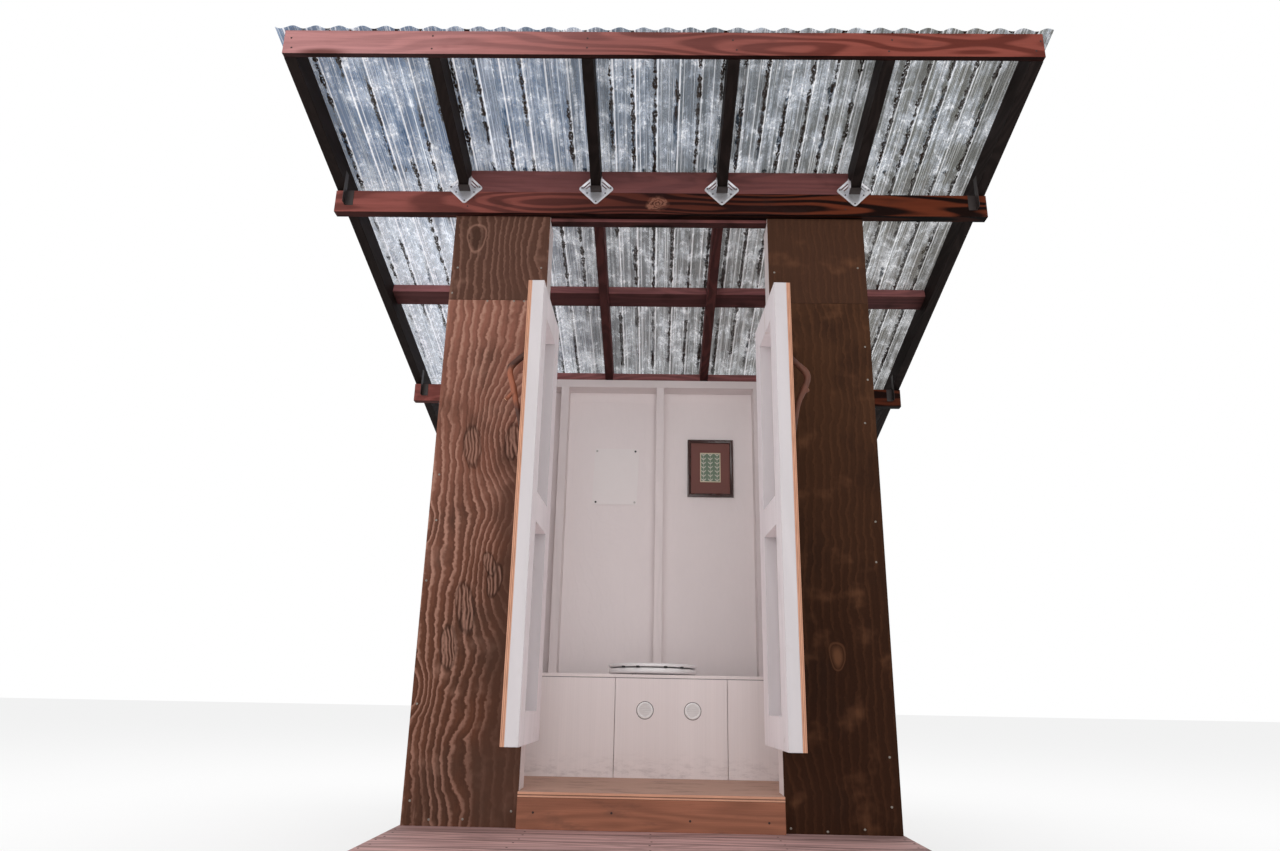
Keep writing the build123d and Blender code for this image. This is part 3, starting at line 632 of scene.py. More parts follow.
def clear_sheet(name):
    """Clear corrugated plastic: blue-grey in shade, with painted highlights along the waves, clearer patches
    and flecks painted with sky light, a painted glow and wet dirt.
    """
    f = Finish(name)
    roof = Roof(bpy.context.scene.outhouse_sizes)
    across = (f.x - roof.left) / roof.pitch
    wander = f.cloud((14.0, 2.0, 0), shift=(0, 0, 3.0)) * 0.05
    turn = (across + wander).fraction()
    own = f.add("ShaderNodeTexWhiteNoise", {"noise_dimensions": "1D"}, {"W": across.floor()})
    rib_highlight = f.fall(abs(turn - 0.40), 0.014, 0.050)
    beside_highlight = f.fall(abs(turn - 0.58), 0.006, 0.032)
    third = f.fall(abs(turn - 0.93), 0.006, 0.032)
    thread = f.cloud((210.0, 1.1, 0), 2.0, 0.55, shift=(0, 0, 1.0))
    broken = f.cloud((30.0, 6.0, 0), 3.0, 0.6, shift=(0, 0, 2.0))
    streak = f.cloud((75.0, 4.0, 0), 3.0, 0.6, shift=(0, 0, 6.0))
    sky_fleck = f.cloud((52.0, 30.0, 0), 4.0, 0.8, shift=(0, 0, 4.0))
    patchy = f.cloud((5.5, 6.5, 0), 5.0, 0.75, shift=(0, 0, 9.0))
    # Towards the back the sheets are warmer, and at the lower left they are painted paler with sky light
    low_down = f.ramp(f.y, -0.75, -0.25)
    low_left_sky = low_down * f.fall(f.x, -0.8, -0.2)
    # Clearer patches: more see-through, and bluer and paler with painted sky light
    clean_and_sky = f.ramp(patchy + streak * 0.70 + low_left_sky * 0.15 - 0.35, 0.40, 0.66)
    # Painted highlights: pale lines along each wave and fine threads, with flecks and patches of painted sky
    # light; halved on faces that look up
    pale = rib_highlight * (0.70 + own * 0.40) + beside_highlight * own * 0.8 + third * (1.0 - own) * 0.8
    pale = pale + f.ramp(thread, 0.55, 0.68) * 0.55
    pale = pale * (0.40 + broken) + f.ramp(sky_fleck + clean_and_sky * 0.10, 0.58, 0.66) * (0.15 + clean_and_sky * 0.60)
    above = f.ramp(f.facing_z, 0.0, 0.3)
    pale = pale.smaller(1.0) * (1.0 - above * 0.5)
    right = f.ramp(f.x, -0.5, 1.0)
    body = f.mix(right, f.paint.sheet, (0.105, 0.112, 0.088))
    body = f.mix(f.fall(f.x, -1.0, 0.2) * 0.40, body, (0.16, 0.30, 0.56))
    body = f.mix(low_down * 0.5, body, (0.215, 0.185, 0.140))
    body = f.mix(clean_and_sky * (0.5 - low_down * 0.2), body, (0.23, 0.38, 0.62))
    f.tone = f.mix(pale, body, (0.93, 0.95, 0.98))
    f.lay(low_left_sky * 0.28, (0.60, 0.74, 0.97))
    cover = 0.68 - clean_and_sky * 0.30 + pale * (0.24 + clean_and_sky * 0.22)
    lap = (across / waves_per_sheet).fraction() < 1 / waves_per_sheet
    lap = lap * (across > waves_per_sheet * 0.5) * (across < waves_per_sheet * 3.5)
    cover = cover * (1.0 - lap * 0.45)
    # Wet dirt lies along the bottoms of the waves, in broken lines
    valley = (across + 0.25).floor()
    aside = (across + 0.25).fraction() - 0.5
    run = f.noise(f.vector(valley * 3.7, f.y * 1.8, 2.0))
    run = f.ramp(run + right * 0.10, 0.47, 0.53)
    bend = f.noise(f.vector(valley * 5.1, f.y * 17.0, 1.0)) * 0.20 - 0.10
    wide = f.ramp(f.noise(f.vector(valley * 1.9, f.y * 26.0, 8.0), 3.0, 0.7), 0.30, 0.66) * 0.135
    rag = f.cloud((190.0, 120.0, 0), shift=(0, 0, 7.0))
    dirt = f.ramp(wide - abs(aside + bend), 0.0, 0.018) * run * f.ramp(rag, 0.36, 0.46)
    speck = f.cells(f.vector(f.x * 62.0, f.y * 42.0, 2.0))
    dirt = dirt.larger((speck < 0.10) * (broken > 0.56))
    f.lay(dirt, f.paint.litter)
    cover = cover.larger(dirt * 0.97)
    # Painted glow: emission that stands in for daylight coming through the sheet
    glow = f.shade((1.0, 1.0, 1.0), pale * (1.0 - dirt) * (0.32 + low_left_sky * 0.10))
    glow = f.mix(low_left_sky * (1.0 - dirt) * 0.06, glow, (0.72, 0.84, 1.0))
    normal = f.bump(thread, 0.0004, 0.4)
    return f.surface(0.14 + streak * 0.16, normal, alpha=cover, emission_color=glow, emission_strength=1.0)


def leaf_litter(name):
    """Dead leaves and needles, from black-brown to tan."""
    f = Finish(name)
    hue = f.cloud((26.0, 26.0, 26.0), 2.0, 0.6)
    vein = f.cloud((300.0, 300.0, 300.0))
    f.tone = f.mix(f.ramp(hue, 0.52, 0.72), f.paint.litter, (0.17, 0.085, 0.045))
    f.dim(0.7 + vein * 0.6)
    return f.surface(0.85, f.bump(vein, 0.0006, 0.5), specular=0.15)


def branch_wood(name, peeled_low, peeled_high, share):
    """A branch with dark bark at its ends and red-orange, peeled wood between two heights."""
    f = Finish(name)
    peel = f.cloud((40.0, 40.0, 22.0), 3.0, 0.6)
    flake = f.cloud((160.0, 160.0, 60.0), 3.0, 0.65)
    height = f.z + peel * 0.05 - 0.025
    bare = f.ramp(height, peeled_low - 0.02, peeled_low + 0.02)
    bare = bare * f.fall(height, peeled_high - 0.015, peeled_high + 0.015)
    f.tone = f.mix(bare * share, f.paint.bark, f.paint.peeled)
    f.lay(f.ramp(peel, 0.54, 0.64) * 0.45, f.paint.bark)
    f.dim(0.70 + flake * 0.6)
    return f.surface(0.48 + flake * 0.25, f.bump(flake * 0.5 + peel * 0.5, 0.0018, 0.6), specular=0.3)


def plain_finish(name, tone, roughness, seed, grainy=0.06, **constants):
    """A moulded or cut material with slight unevenness, dirt and a fine surface."""
    f = Finish(name, tone)
    cloud = f.cloud((18.0, 18.0, 18.0), 4.0, 0.6, shift=(seed, 0, 0))
    fine = f.cloud((500.0, 500.0, 500.0), shift=(0, 0, seed))
    f.dim(1.0 - grainy / 2 + cloud * grainy + (fine - 0.5) * grainy)
    return f.surface(roughness + cloud * 0.08 - 0.04, f.bump(fine, 0.0002, 0.3), **constants)


def printed_leaves(name, low, high):
    """A plain print: pale stems with pairs of leaves on a green ground, with a cream border."""
    f = Finish(name)
    u = (f.x - low.x) / (high.x - low.x)
    v = (f.z - low.z) / (high.z - low.z)
    column = (u * 3.0).fraction() - 0.5
    row = (v * 7.0).fraction() - 0.5
    slant = abs(abs(column) * 1.3 - row - 0.15)
    leaf = f.fall(slant, 0.06, 0.20) * f.fall(abs(column), 0.26, 0.40)
    stem = f.fall(abs(column), 0.02, 0.05)
    wash = f.noise(f.vector(f.x * 60.0, f.z * 60.0, 1.0), 3.0, 0.6)
    f.tone = f.mix(wash * 0.8, f.paint.print_green, (0.16, 0.20, 0.12))
    f.lay(leaf.larger(stem * 0.7) * 0.85, (0.62, 0.60, 0.50))
    border = (abs(u - 0.5) > 0.455).larger(abs(v - 0.5) > 0.470)
    f.lay(border, (0.62, 0.52, 0.36))
    return f.surface(0.35, f.bump(wash, 0.0001, 0.2), coat_weight=0.3)


def turns(steps):
    """Angles of even steps, all the way round."""
    return [step * tau / steps for step in range(steps)]


class Form:
    """Points and faces of a piece, gathered before its mesh is made."""

    def __init__(self):
        self.points = []
        self.faces = []

    def rows(self, rows, closed=False, capped=False, where=Matrix.Identity(4)):
        """Join rows of points into quads."""
        start = len(self.points)
        wide = len(rows[0])
        for row in rows:
            self.points.extend(where @ Vector(point) for point in row)
        for r in range(len(rows) - 1):
            for c in range(wide if closed else wide - 1):
                d = (c + 1) % wide
                low = start + r * wide
                high = low + wide
                self.faces.append((low + c, low + d, high + d, high + c))
        if capped:
            self.faces.append(tuple(range(start + wide - 1, start - 1, -1)))
            last = start + (len(rows) - 1) * wide
            self.faces.append(tuple(range(last, last + wide)))

    def fence(self, ring, lift):
        """Join a ring of points to the ring that comes a number of points later."""
        for a, b in zip(ring, ring[1:] + ring[:1]):
            self.faces.append((a, b, b + lift, a + lift))

    def sheet(self, lower, upper):
        """Two grids of points, joined round their edges."""
        wide = len(lower[0])
        last = len(lower) - 1
        self.rows(lower)
        self.rows(upper)
        rim = [(0, c) for c in range(wide)] + [(r, wide - 1) for r in range(1, last + 1)]
        rim += [(last, c) for c in range(wide - 2, -1, -1)] + [(r, 0) for r in range(last - 1, 0, -1)]
        self.fence([r * wide + c for r, c in rim], wide * (last + 1))

    def lathe(self, profile, where, steps=24, stretch=(1.0, 1.0), capped=True):
        """Turn a profile of (radius, height) points about the Z axis of a place."""
        wide, long = stretch
        rows = []
        for radius, height in profile:
            rows.append([(radius * cos(a) * wide, radius * sin(a) * long, height) for a in turns(steps)])
        self.rows(rows, closed=True, capped=capped, where=where)

    def prism(self, outline, low, high, where=Matrix.Identity(4)):
        """Raise an outline of (x, y) points between two heights."""
        rows = [[(x, y, z) for x, y in outline] for z in (low, high)]
        self.rows(rows, closed=True, capped=True, where=where)

    def bar(self, outline, ends, where=Matrix.Identity(4)):
        """Draw an outline of (y, z) points from one x to another."""
        rows = [[(x, y, z) for y, z in outline] for x in ends]
        self.rows(rows, closed=True, capped=True, where=where)

    def block(self, low, high):
        outline = [(low[0], low[1]), (high[0], low[1]), (high[0], high[1]), (low[0], high[1])]
        self.prism(outline, low[2], high[2])

    def tube(self, path, radii, steps=12):
        """A round tube through points, with a radius at each and a slightly uneven skin."""
        rows = []
        for index, point in enumerate(path):
            ahead = (path[min(index + 1, len(path) - 1)] - path[max(index - 1, 0)]).normalized()
            side = ahead.cross(Vector((0.0, 1.0, 0.35))).normalized()
            up = side.cross(ahead)
            row = []
            for turn in turns(steps):
                lumps = 1.0 + 0.05 * sin(3 * turn + index) + 0.03 * sin(5 * turn + 2.3 * index)
                row.append(point + (side * cos(turn) + up * sin(turn)) * radii[index] * lumps)
            rows.append(row)
        self.rows(rows, closed=True, capped=True)


def make(form, name, material, body="cabin", smooth=True):
    """Turn a form into a piece that rides on a body."""
    mesh = bpy.data.meshes.new(name)
    mesh.from_pydata(form.points, [], form.faces)
    work = bmesh.new()
    work.from_mesh(mesh)
    bmesh.ops.recalc_face_normals(work, faces=work.faces)
    work.to_mesh(mesh)
    work.free()
    if smooth:
        mesh.polygons.foreach_set("use_smooth", [True] * len(mesh.polygons))
        mesh.set_sharp_from_angle(angle=sharp_angle)
    mesh.materials.append(material)
    piece = bpy.data.objects.new(name, mesh)
    bpy.context.scene.collection.objects.link(piece)
    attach(piece, body)
    return piece


def cut(piece, cutter):
    """Cut one piece out of another, and remove the cutter."""
    knife = piece.modifiers.new("cut", "BOOLEAN")
    knife.object = cutter
    knife.solver = "EXACT"
    graph = bpy.context.evaluated_depsgraph_get()
    piece.data = bpy.data.meshes.new_from_object(piece.evaluated_get(graph))
    piece.modifiers.clear()
    bpy.data.objects.remove(cutter)


def dress(material, *names):
    """Give carried-over nodes a finish."""
    for name in names:
        piece = nodes[name]
        if not piece.material_slots:
            piece.data.materials.append(material)
        for entry in piece.material_slots:
            entry.material = material


def looking(place, direction=forward):
    """A place whose Z axis points along a direction."""
    return Matrix.Translation(place) @ Vector(direction).to_track_quat("Z", "Y").to_matrix().to_4x4()


def spaced(low, high, pitch):
    """Places from low to high, as evenly spaced as a pitch allows."""
    count = max(1, round((high - low) / pitch))
    return [low + (high - low) * index / count for index in range(count + 1)]


def rounded_outline(wide, tall, radius, turn=0.0, steps=6):
    """A rectangle with round corners, turned about its middle."""
    outline = []
    for corner, (sx, sy) in enumerate(((1, 1), (-1, 1), (-1, -1), (1, -1))):
        for step in range(steps + 1):
            a = (corner + step / steps) * pi / 2
            x = sx * (wide / 2 - radius) + radius * cos(a)
            y = sy * (tall / 2 - radius) + radius * sin(a)
            outline.append((x * cos(turn) - y * sin(turn), x * sin(turn) + y * cos(turn)))
    return outline


def screw(form, place, head, direction=forward, proud=0.0014):
    """A round screw head with a small driver recess."""
    shape = ((1.0, -0.0006 / proud), (1.0, 0.35), (0.80, 0.85), (0.36, 1.0), (0.30, 0.35), (0.05, 0.25))
    profile = [(head / 2 * out, proud * up) for out, up in shape]
    form.lathe(profile, looking(place, direction), steps=10)


class OUTHOUSE_OT_timber(bpy.types.Operator):
    """Stain the fascia, beams, rafters and blocks"""

    bl_idname = "outhouse.timber"
    bl_label = "Stained Timber"

    def execute(self, context):
        stain = context.scene.outhouse_stain
        dark = (0.0272, 0.0136, 0.0109)
        by_rafter = (0.30, 9.0, 0.5, 0.5)
        # Pale end with painted sheen, red end, dark stain and glowing grain
        fascia = (stain.fascia_sheen, stain.fascia_red, (0.1088, 0.0354, 0.0299), (0.5712, 0.1768, 0.136))
        beam = (stain.beam_sheen, stain.beam_red, dark, stain.ember)
        strip = (stain.strip, stain.strip, dark, stain.ember)
        purlin = (stain.purlin, stain.purlin, dark, stain.ember)
        # Near-black rafter tone: painted shade
        rafter = (stain.rafter, stain.rafter, (0.0136, 0.0082, 0.0068), stain.rafter)
        extras = {
            "front_beam": {"burl": (-0.007, 2.276, 0.047)},
            "rear_beam": {"painted_inside": True},
            "outer_rafters": {"sunny": stain.beam_sheen},
        }
        # Tones, seed, strength of the figure and painted shade underneath
        timbers = {
            "fascia": (fascia, 3.1, 0.40, 0.90),
            "front_beam": (beam, 8.4, 1.35, 0.80),
            "front_blocking": (strip, 14.2, 0.22, 0.7),
            "front_header": (strip, 15.9, 0.3, 0.7),
            "rear_beam": (beam, 19.7, 0.9, 0.7),
            "rear_blocking": (purlin, 21.3, 0.5, 0.5),
            "roof_purlins": (purlin, 23.5, 0.4, 0.72),
            "outer_rafters": (rafter, 31.0, 0.5, 0.3),
            "front_rafters": (rafter, 37.0, 0.5, 0.3),
            "rear_rafters": (strip, 41.0, 0.5, 0.55),
        }
        for node, look in timbers.items():
            run = ("y", by_rafter) if "rafters" in node else ("x", whole)
            dress(stained_timber(node + "_stain", *run, *look, **extras.get(node, {})), node)
        return {"FINISHED"}


class OUTHOUSE_OT_plywood(bpy.types.Operator):
    """Stain the wall and door panels"""

    bl_idname = "outhouse.plywood"
    bl_label = "Stained Plywood"

    def execute(self, context):
        stain = context.scene.outhouse_stain
        dark = (0.0707, 0.0354, 0.0245)
        amber = (0.1741, 0.0734, 0.0367)
        # Tone low down, tone high up, pale line and dark cloud
        left = (stain.ply_brown, stain.ply_light, stain.ply_line, dark)
        upper = (stain.ply_upper, stain.ply_upper, stain.ply_line, dark)
        # Right panels: partly darker stain, partly painted shade
        right = (stain.ply_dark_and_shaded, (0.0639, 0.0272, 0.0136), amber, (0.0245, 0.0109, 0.0068))
        right_upper = (stain.ply_right_and_shaded, stain.ply_right_and_shaded, amber, (0.0408, 0.019, 0.0122))
        # The left front panel carries a painted shadow of the left door
        figured = {"mottle": 0.42, "patches": left_patches, "swells": left_swells, "door_shadow": (-0.585, 1.22)}
        knotted = {
            "swells": ((-0.480, 2.060, 0.160, 0.260, 1.6),),
            "knots": ((-0.679, 2.137, 0.084, 0.130, 0.0),),
        }
        clouded = {"mottle": 0.46, "knots": ((0.590, 0.646, 0.062, 0.094, 0.7),)}
        broad_swells = (
            (-0.30, 1.45, 0.28, 0.55, 3.4), (0.25, 0.75, 0.30, 0.60, -3.0), (0.45, 1.75, 0.22, 0.45, 2.4),
        )
        broad = {"swells": broad_swells}
        # Tones, seed, how far the lines bend, their contrast, and the figure
        panels = {
            "front_left_panel": (left, 2.0, 6.5, 0.88, figured),
            "front_left_upper_panel": (upper, 12.0, 3.0, 0.26, knotted),
            "front_right_panel": (right, 21.0, 6.0, 0.14, clouded),
            "front_right_upper_panel": (right_upper, 27.0, 5.0, 0.10, {"mottle": 0.52}),
            "back_wall_panel": (upper, 33.0, 7.0, 0.40, broad),
            "left_wall_panel": (left, 43.0, 7.0, 0.60, broad),
            "right_wall_panel": (upper, 51.0, 7.0, 0.40, broad),
            "left_door_panel": (left, 61.0, 6.0, 0.60, broad),
            "right_door_panel": (upper, 67.0, 6.0, 0.35, broad),
        }
        for node, (tones, seed, lines, contrast, figure) in panels.items():
            front = node.startswith("front")
            axis = "y" if front or node.startswith("back") else "x"
            side = 1.0 if front or node.startswith("left") else -1.0
            face = getattr(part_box(node)[0], axis)
            if front:
                figure = {"rate": 34.0, **figure}
            finish = stained_plywood(
                node + "_stain", axis, side, face, tones, seed, lines, contrast, front, **figure
            )
            dress(finish, node)
        return {"FINISHED"}


class OUTHOUSE_OT_painted(bpy.types.Operator):
    """Paint the studs, door frames and bench white"""

    bl_idname = "outhouse.painted"
    bl_label = "White Paint"

    def execute(self, context):
        upright = (0.20, 0.20, 0.5, 0.5)
        level = (9.0, 0.20, 0.5, 0.5)
        rails = (9.0, timber_wide, 0.5, 0.5)
        white = context.scene.outhouse_paint.white
        door = context.scene.outhouse_paint.door
        studs = ("side_wall_studs", "back_wall_studs", "door_jambs")
        pieces = (
            ("stud_paint", "z", upright, 5.0, white, 0.0, studs),
            ("plate_paint", "x", level, 9.0, white, 0.0, ("back_wall_plates", "front_wall_plates")),
            ("side_plate_paint", "y", level, 11.0, white, 0.0, ("side_wall_plates",)),
            # The door frames take 0.38 of painted shade on their forward-looking faces
            ("door_paint", "z", rails, 16.0, door, 0.38, ("left_door_frame", "right_door_frame")),
        )
        for *look, names in pieces:
            dress(painted_timber(*look), *names)
        dress(bench_paint("bench_paint", 3.0), "bench_front_panels", "bench_top", "bench_cleats")
        return {"FINISHED"}


class OUTHOUSE_OT_platform(bpy.types.Operator):
    """Finish the deck, floor and toe board"""

    bl_idname = "outhouse.platform"
    bl_label = "Platform"

    def execute(self, context):
        fir = context.scene.outhouse_paint.fir
        boards = (board_pitch, 9.0, -deck_low.y / board_pitch, 0.5)
        dress(weathered_boards("deck_boards", boards, 2.0), "deck_boards")
        dress(weathered_boards("deck_frame", joists, 7.0), "deck_joists", "deck_rims")
        dress(floor_plywood("floor_plywood"), "floor_panel")
        dress(bare_fir("toe_board_fir", "x", whole, fir, 4.0), "toe_board")
        dress(bare_fir("joist_fir", "y", joists, fir, 6.0), "floor_joists", "floor_rims")
        return {"FINISHED"}


class OUTHOUSE_OT_hangers(bpy.types.Operator):
    """Make the rafter hangers, and finish the ties and hinges"""

    bl_idname = "outhouse.hangers"
    bl_label = "Hangers and Hinges"

    def execute(self, context):
        sizes = context.scene.outhouse_sizes
        steel = galvanised("galvanised_steel", 1.0)
        # Near-black steel, which paints shade onto the ties and onto the seat strips under the rafters; the
        # nails use it too
        dull = plain_finish("steel_in_painted_shade", (0.035, 0.026, 0.024), 0.5, 3.0, 0.3, metallic=0.3)
        dress(dull, "rafter_ties")
        dress(steel, "left_door_hinges", "right_door_hinges", "left_wall_hinges", "right_wall_hinges")
        thick = 0.002
        skin = 0.0018
        foot = beam_low.y - thick
        near = foot - 0.034
        half = timber / 2 + 0.0003
        middle = beam_high.z + sizes.hanger_rise
        rise = tan(sizes.roof_slope)
        # The rafter's lower edge where it meets the plate
        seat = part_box("front_rafters")[0].z
        drop = seat - rise * 0.030
        cheek = [
            (near, seat), (foot, seat - rise * 0.034), (foot, seat + 0.058), (near + 0.012, seat + 0.034),
            (near, seat + 0.026),
        ]
        under = [(near + 0.004, seat - skin), (foot, drop - skin), (foot, drop), (near + 0.004, seat)]
        head = [(0.0030, -0.0002), (0.0030, 0.0010), (0.0016, 0.0016), (0.0003, 0.0018)]
        plates, knives, cheeks, seats, nails = [Form() for part in range(5)]
        for place in rafter_places:
            flat = Matrix.Translation((place, beam_low.y, middle)) @ Matrix.Rotation(pi / 2, 4, "X")
            plates.prism(rounded_outline(sizes.hanger, sizes.hanger, 0.010, pi / 4), 0.0, thick, flat)
            for side in (-1, 1):
                turned = flat @ Matrix.Rotation(-side * pi / 4, 4, "Z")
                for step in (0.0, 1.0):
                    slot = sizes.hanger / 2 - 0.011 - step * 0.010
                    low, high = slot - 0.0022, slot + 0.0022
                    reach = 0.020 - step * 0.005
                    left, right = side * 0.013 - reach, side * 0.013 + reach
                    outline = [(left, low), (right, low), (right, high), (left, high)]
                    knives.prism(outline, -0.001, thick + 0.001, turned)
                cheeks.bar(cheek, sorted((place + side * half, place + side * (half + skin))))
            for x, z in ((0.054, 0.004), (-0.054, 0.004), (0.0, -0.054), (0.034, -0.018), (-0.034, -0.018)):
                nails.lathe(head, looking((place + x, foot, middle + z)), steps=10)
            seats.bar(under, (place - half - skin, place + half + skin))
        piece = make(plates, "hanger_plates", steel)
        cut(piece, make(knives, "hanger_knives", steel))
        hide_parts("rafter_hangers")
        make(cheeks, "hanger_cheeks", steel)
        # The seat strips under the rafters are near-black for painted shade
        make(seats, "hanger_seats", dull)
        make(nails, "hanger_nails", dull)
        return {"FINISHED"}


class Roof:
    """Places on the roof: across it, down its slope and above the rafters."""

    def __init__(self, sizes):
        self.slope = sizes.roof_slope
        self.down = Vector((0.0, cos(self.slope), -sin(self.slope)))
        self.up = Vector((0.0, sin(self.slope), cos(self.slope)))
        rise = tan(self.slope) * (fascia_high.y - fascia_low.y)
        self.edge = Vector((0.0, fascia_low.y, fascia_high.z + rise))
        self.pitch = sizes.wave_pitch
        self.depth = sizes.wave_depth
        self.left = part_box("roof_sheet_1")[0].x
        self.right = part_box("roof_sheet_4")[1].x
        self.reach = self.slope_place(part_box("roof_sheet_1")[1].y)
        self.waves = round((self.right - self.left) / self.pitch)
        # The upper face of a sheet that lies over its neighbour
        self.top = sizes.sheet_thickness + lap_rise

    def wave(self, x):
        """Height of a sheet's underside above the rafters."""
        return self.depth / 2 - self.depth / 2 * sin((x - self.left) / self.pitch * tau)

    def point(self, x, s, h):
        """A point from its place across, down the slope and above the rafters."""
        return Vector((x, 0.0, 0.0)) + self.edge + self.down * s + self.up * h

    def slope_place(self, y):
        """How far down the slope a depth lies."""
        return (y - self.edge.y) / cos(self.slope)


class OUTHOUSE_OT_sheets(bpy.types.Operator):
    """Lay the clear corrugated sheets, each lapping the next by a wave"""

    bl_idname = "outhouse.sheets"
    bl_label = "Roof Sheets"

    def execute(self, context):
        sizes = context.scene.outhouse_sizes
        roof = Roof(sizes)
        clear = clear_sheet("clear_sheet")
        steps_per_wave = 12
        rows_down = 9
        uneven = random.Random(5)
        for number in range(1, 5):
            node = "roof_sheet_" + str(number)
            low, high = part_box(node)
            wide = high.x + (roof.pitch if number < 4 else 0.0) - low.x
            raised = lap_rise if number % 2 else 0.0
            start = -0.004 + uneven.uniform(0.0, 0.004)
            end = roof.reach - 0.006 - uneven.uniform(0.0, 0.006)
            columns = round(wide / roof.pitch * steps_per_wave)
            across = [low.x + wide * column / columns for column in range(columns + 1)]
            levels = []
            for level in (0.0, sizes.sheet_thickness):
                rows = []
                for row in range(rows_down + 1):
                    s = start + (end - start) * row / rows_down
                    rows.append([roof.point(x, s, roof.wave(x) + raised + level) for x in across])
                levels.append(rows)
            form = Form()
            form.sheet(*levels)
            piece = make(form, "clear_sheet_" + str(number), clear)
            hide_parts(node)
        return {"FINISHED"}


class OUTHOUSE_OT_litter(bpy.types.Operator):
    """Scatter dead leaves and needles in the valleys of the roof"""

    bl_idname = "outhouse.litter"
    bl_label = "Leaf Litter"

    def execute(self, context):
        sizes = context.scene.outhouse_sizes
        self.roof = roof = Roof(sizes)
        self.size = sizes.leaf
        self.chance = chance = random.Random(11)
        self.form = Form()
        # Each place that holds leaves back: its depth, how far they reach above it, and how often
        purlin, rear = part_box("roof_purlins")[1].y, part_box("rear_beam")[1].y
        stops = ((beam_low.y, 0.34, 0.65), (purlin, 0.50, 0.8), (rear, 0.50, 0.8))
        for valley in range(roof.waves):
            middle = roof.left + (valley + 0.25) * roof.pitch
            amount = 0.30 + 0.70 * min(1.0, valley / roof.waves + chance.uniform(-0.15, 0.35))
            for y, reach, odds in stops:
                if chance.random() < odds * amount + 0.1:
                    run = reach * chance.uniform(0.25, 1.0) * (0.4 + 0.6 * amount)
                    self.streak(middle, roof.slope_place(y) - run - chance.uniform(0.0, 0.12), run, amount)
            for extra in range(chance.randint(0, 2)):
                self.streak(middle, chance.uniform(0.2, roof.reach - 0.3), 0.07, 0.6)
            for speck in range(chance.randint(3, 9)):
                self.piece(middle + chance.gauss(0.0, 0.015), chance.uniform(0.1, roof.reach - 0.1), 0.5)
        make(self.form, "roof_litter", leaf_litter("leaf_litter"), smooth=False)
        return {"FINISHED"}

    def streak(self, middle, top, run, amount):
        """A line of litter along a valley, thick and thin by turns."""
        chance = self.chance
        phase = chance.uniform(0.0, tau)
        place = top
        while place < top + run:
            body = 0.55 + 0.45 * sin(phase + place * 13.0) + 0.4 * sin(phase * 2 + place * 61.0)
            if body > 0.10:
                x = middle + chance.gauss(0.0, 0.0012 + 0.0022 * body) + 0.004 * sin(phase + place * 21.0)
                self.piece(x, place, 0.55 + 0.55 * body * amount)
            place += chance.uniform(0.0022, 0.0052)

    def piece(self, x, s, scale):
        """One leaf or sliver, lying on the sheet."""
        roof, chance = self.roof, self.chance
        s = min(max(s, 0.06), roof.reach - 0.06)
        place = roof.point(x, s, roof.wave(x) + roof.top + 0.0003 + chance.uniform(0.0, 0.003))
        turn = chance.gauss(0.0, 0.32)
        ahead = roof.down * cos(turn) + Vector((1, 0, 0)) * sin(turn)
        side = ahead.cross(roof.up)
        size = self.size * scale * chance.uniform(0.5, 1.0)
        if chance.random() < 0.10:
            self.leaf(place, ahead, side, roof.up * 0.5, size)
        else:
            self.sliver(place, ahead, side, roof.up, size)

    def leaf(self, place, ahead, side, up, size):
        """A pointed, curled leaf."""
        form = self.form
        rows = []
        for t in (0.0, 0.25, 0.5, 0.75, 1.0):
            half = size * 0.24 * sin(pi * (0.06 + 0.88 * t))
            middle = place + ahead * size * (t - 0.5) + up * size * 0.10 * sin(pi * t)
            left = middle - side * half + up * half * 0.5
            right = middle + side * half + up * half * 0.35
            rows.append([left, middle, right])
        start = len(form.points)
        form.rows(rows)
        count = len(form.points) - start
        form.points.extend(point + up * 0.0006 for point in form.points[start:start + count])
        for face in form.faces[-8:]:
            form.faces.append(tuple(index + count for index in reversed(face)))
        form.fence([start + index for index in (0, 3, 6, 9, 12, 13, 14, 11, 8, 5, 2, 1)], count)

    def sliver(self, place, ahead, side, up, size):
        """A needle or bit of bark: a flat spindle with a bend in it."""
        form = self.form
        wide = size * 0.085
        # Along, across and up, of the spindle's corners and of its two middles
        corners = (
            (-0.5, 0.0, 0.0), (-0.1, 1.0, 0.0), (-0.1, -1.0, 0.0), (0.125, 1.6, 0.001), (0.125, -0.4, 0.001),
            (0.5, 1.0, 0.0), (0.0, 0.0, 0.0022), (0.0, 0.0, -0.0004),
        )
        start = len(form.points)
        form.points.extend(place + ahead * size * a + side * wide * b + up * c for a, b, c in corners)
        ring = (0, 2, 4, 5, 3, 1)
        for a, b in zip(ring, ring[1:] + ring[:1]):
            form.faces.append((start + a, start + b, start + 6))
            form.faces.append((start + b, start + a, start + 7))


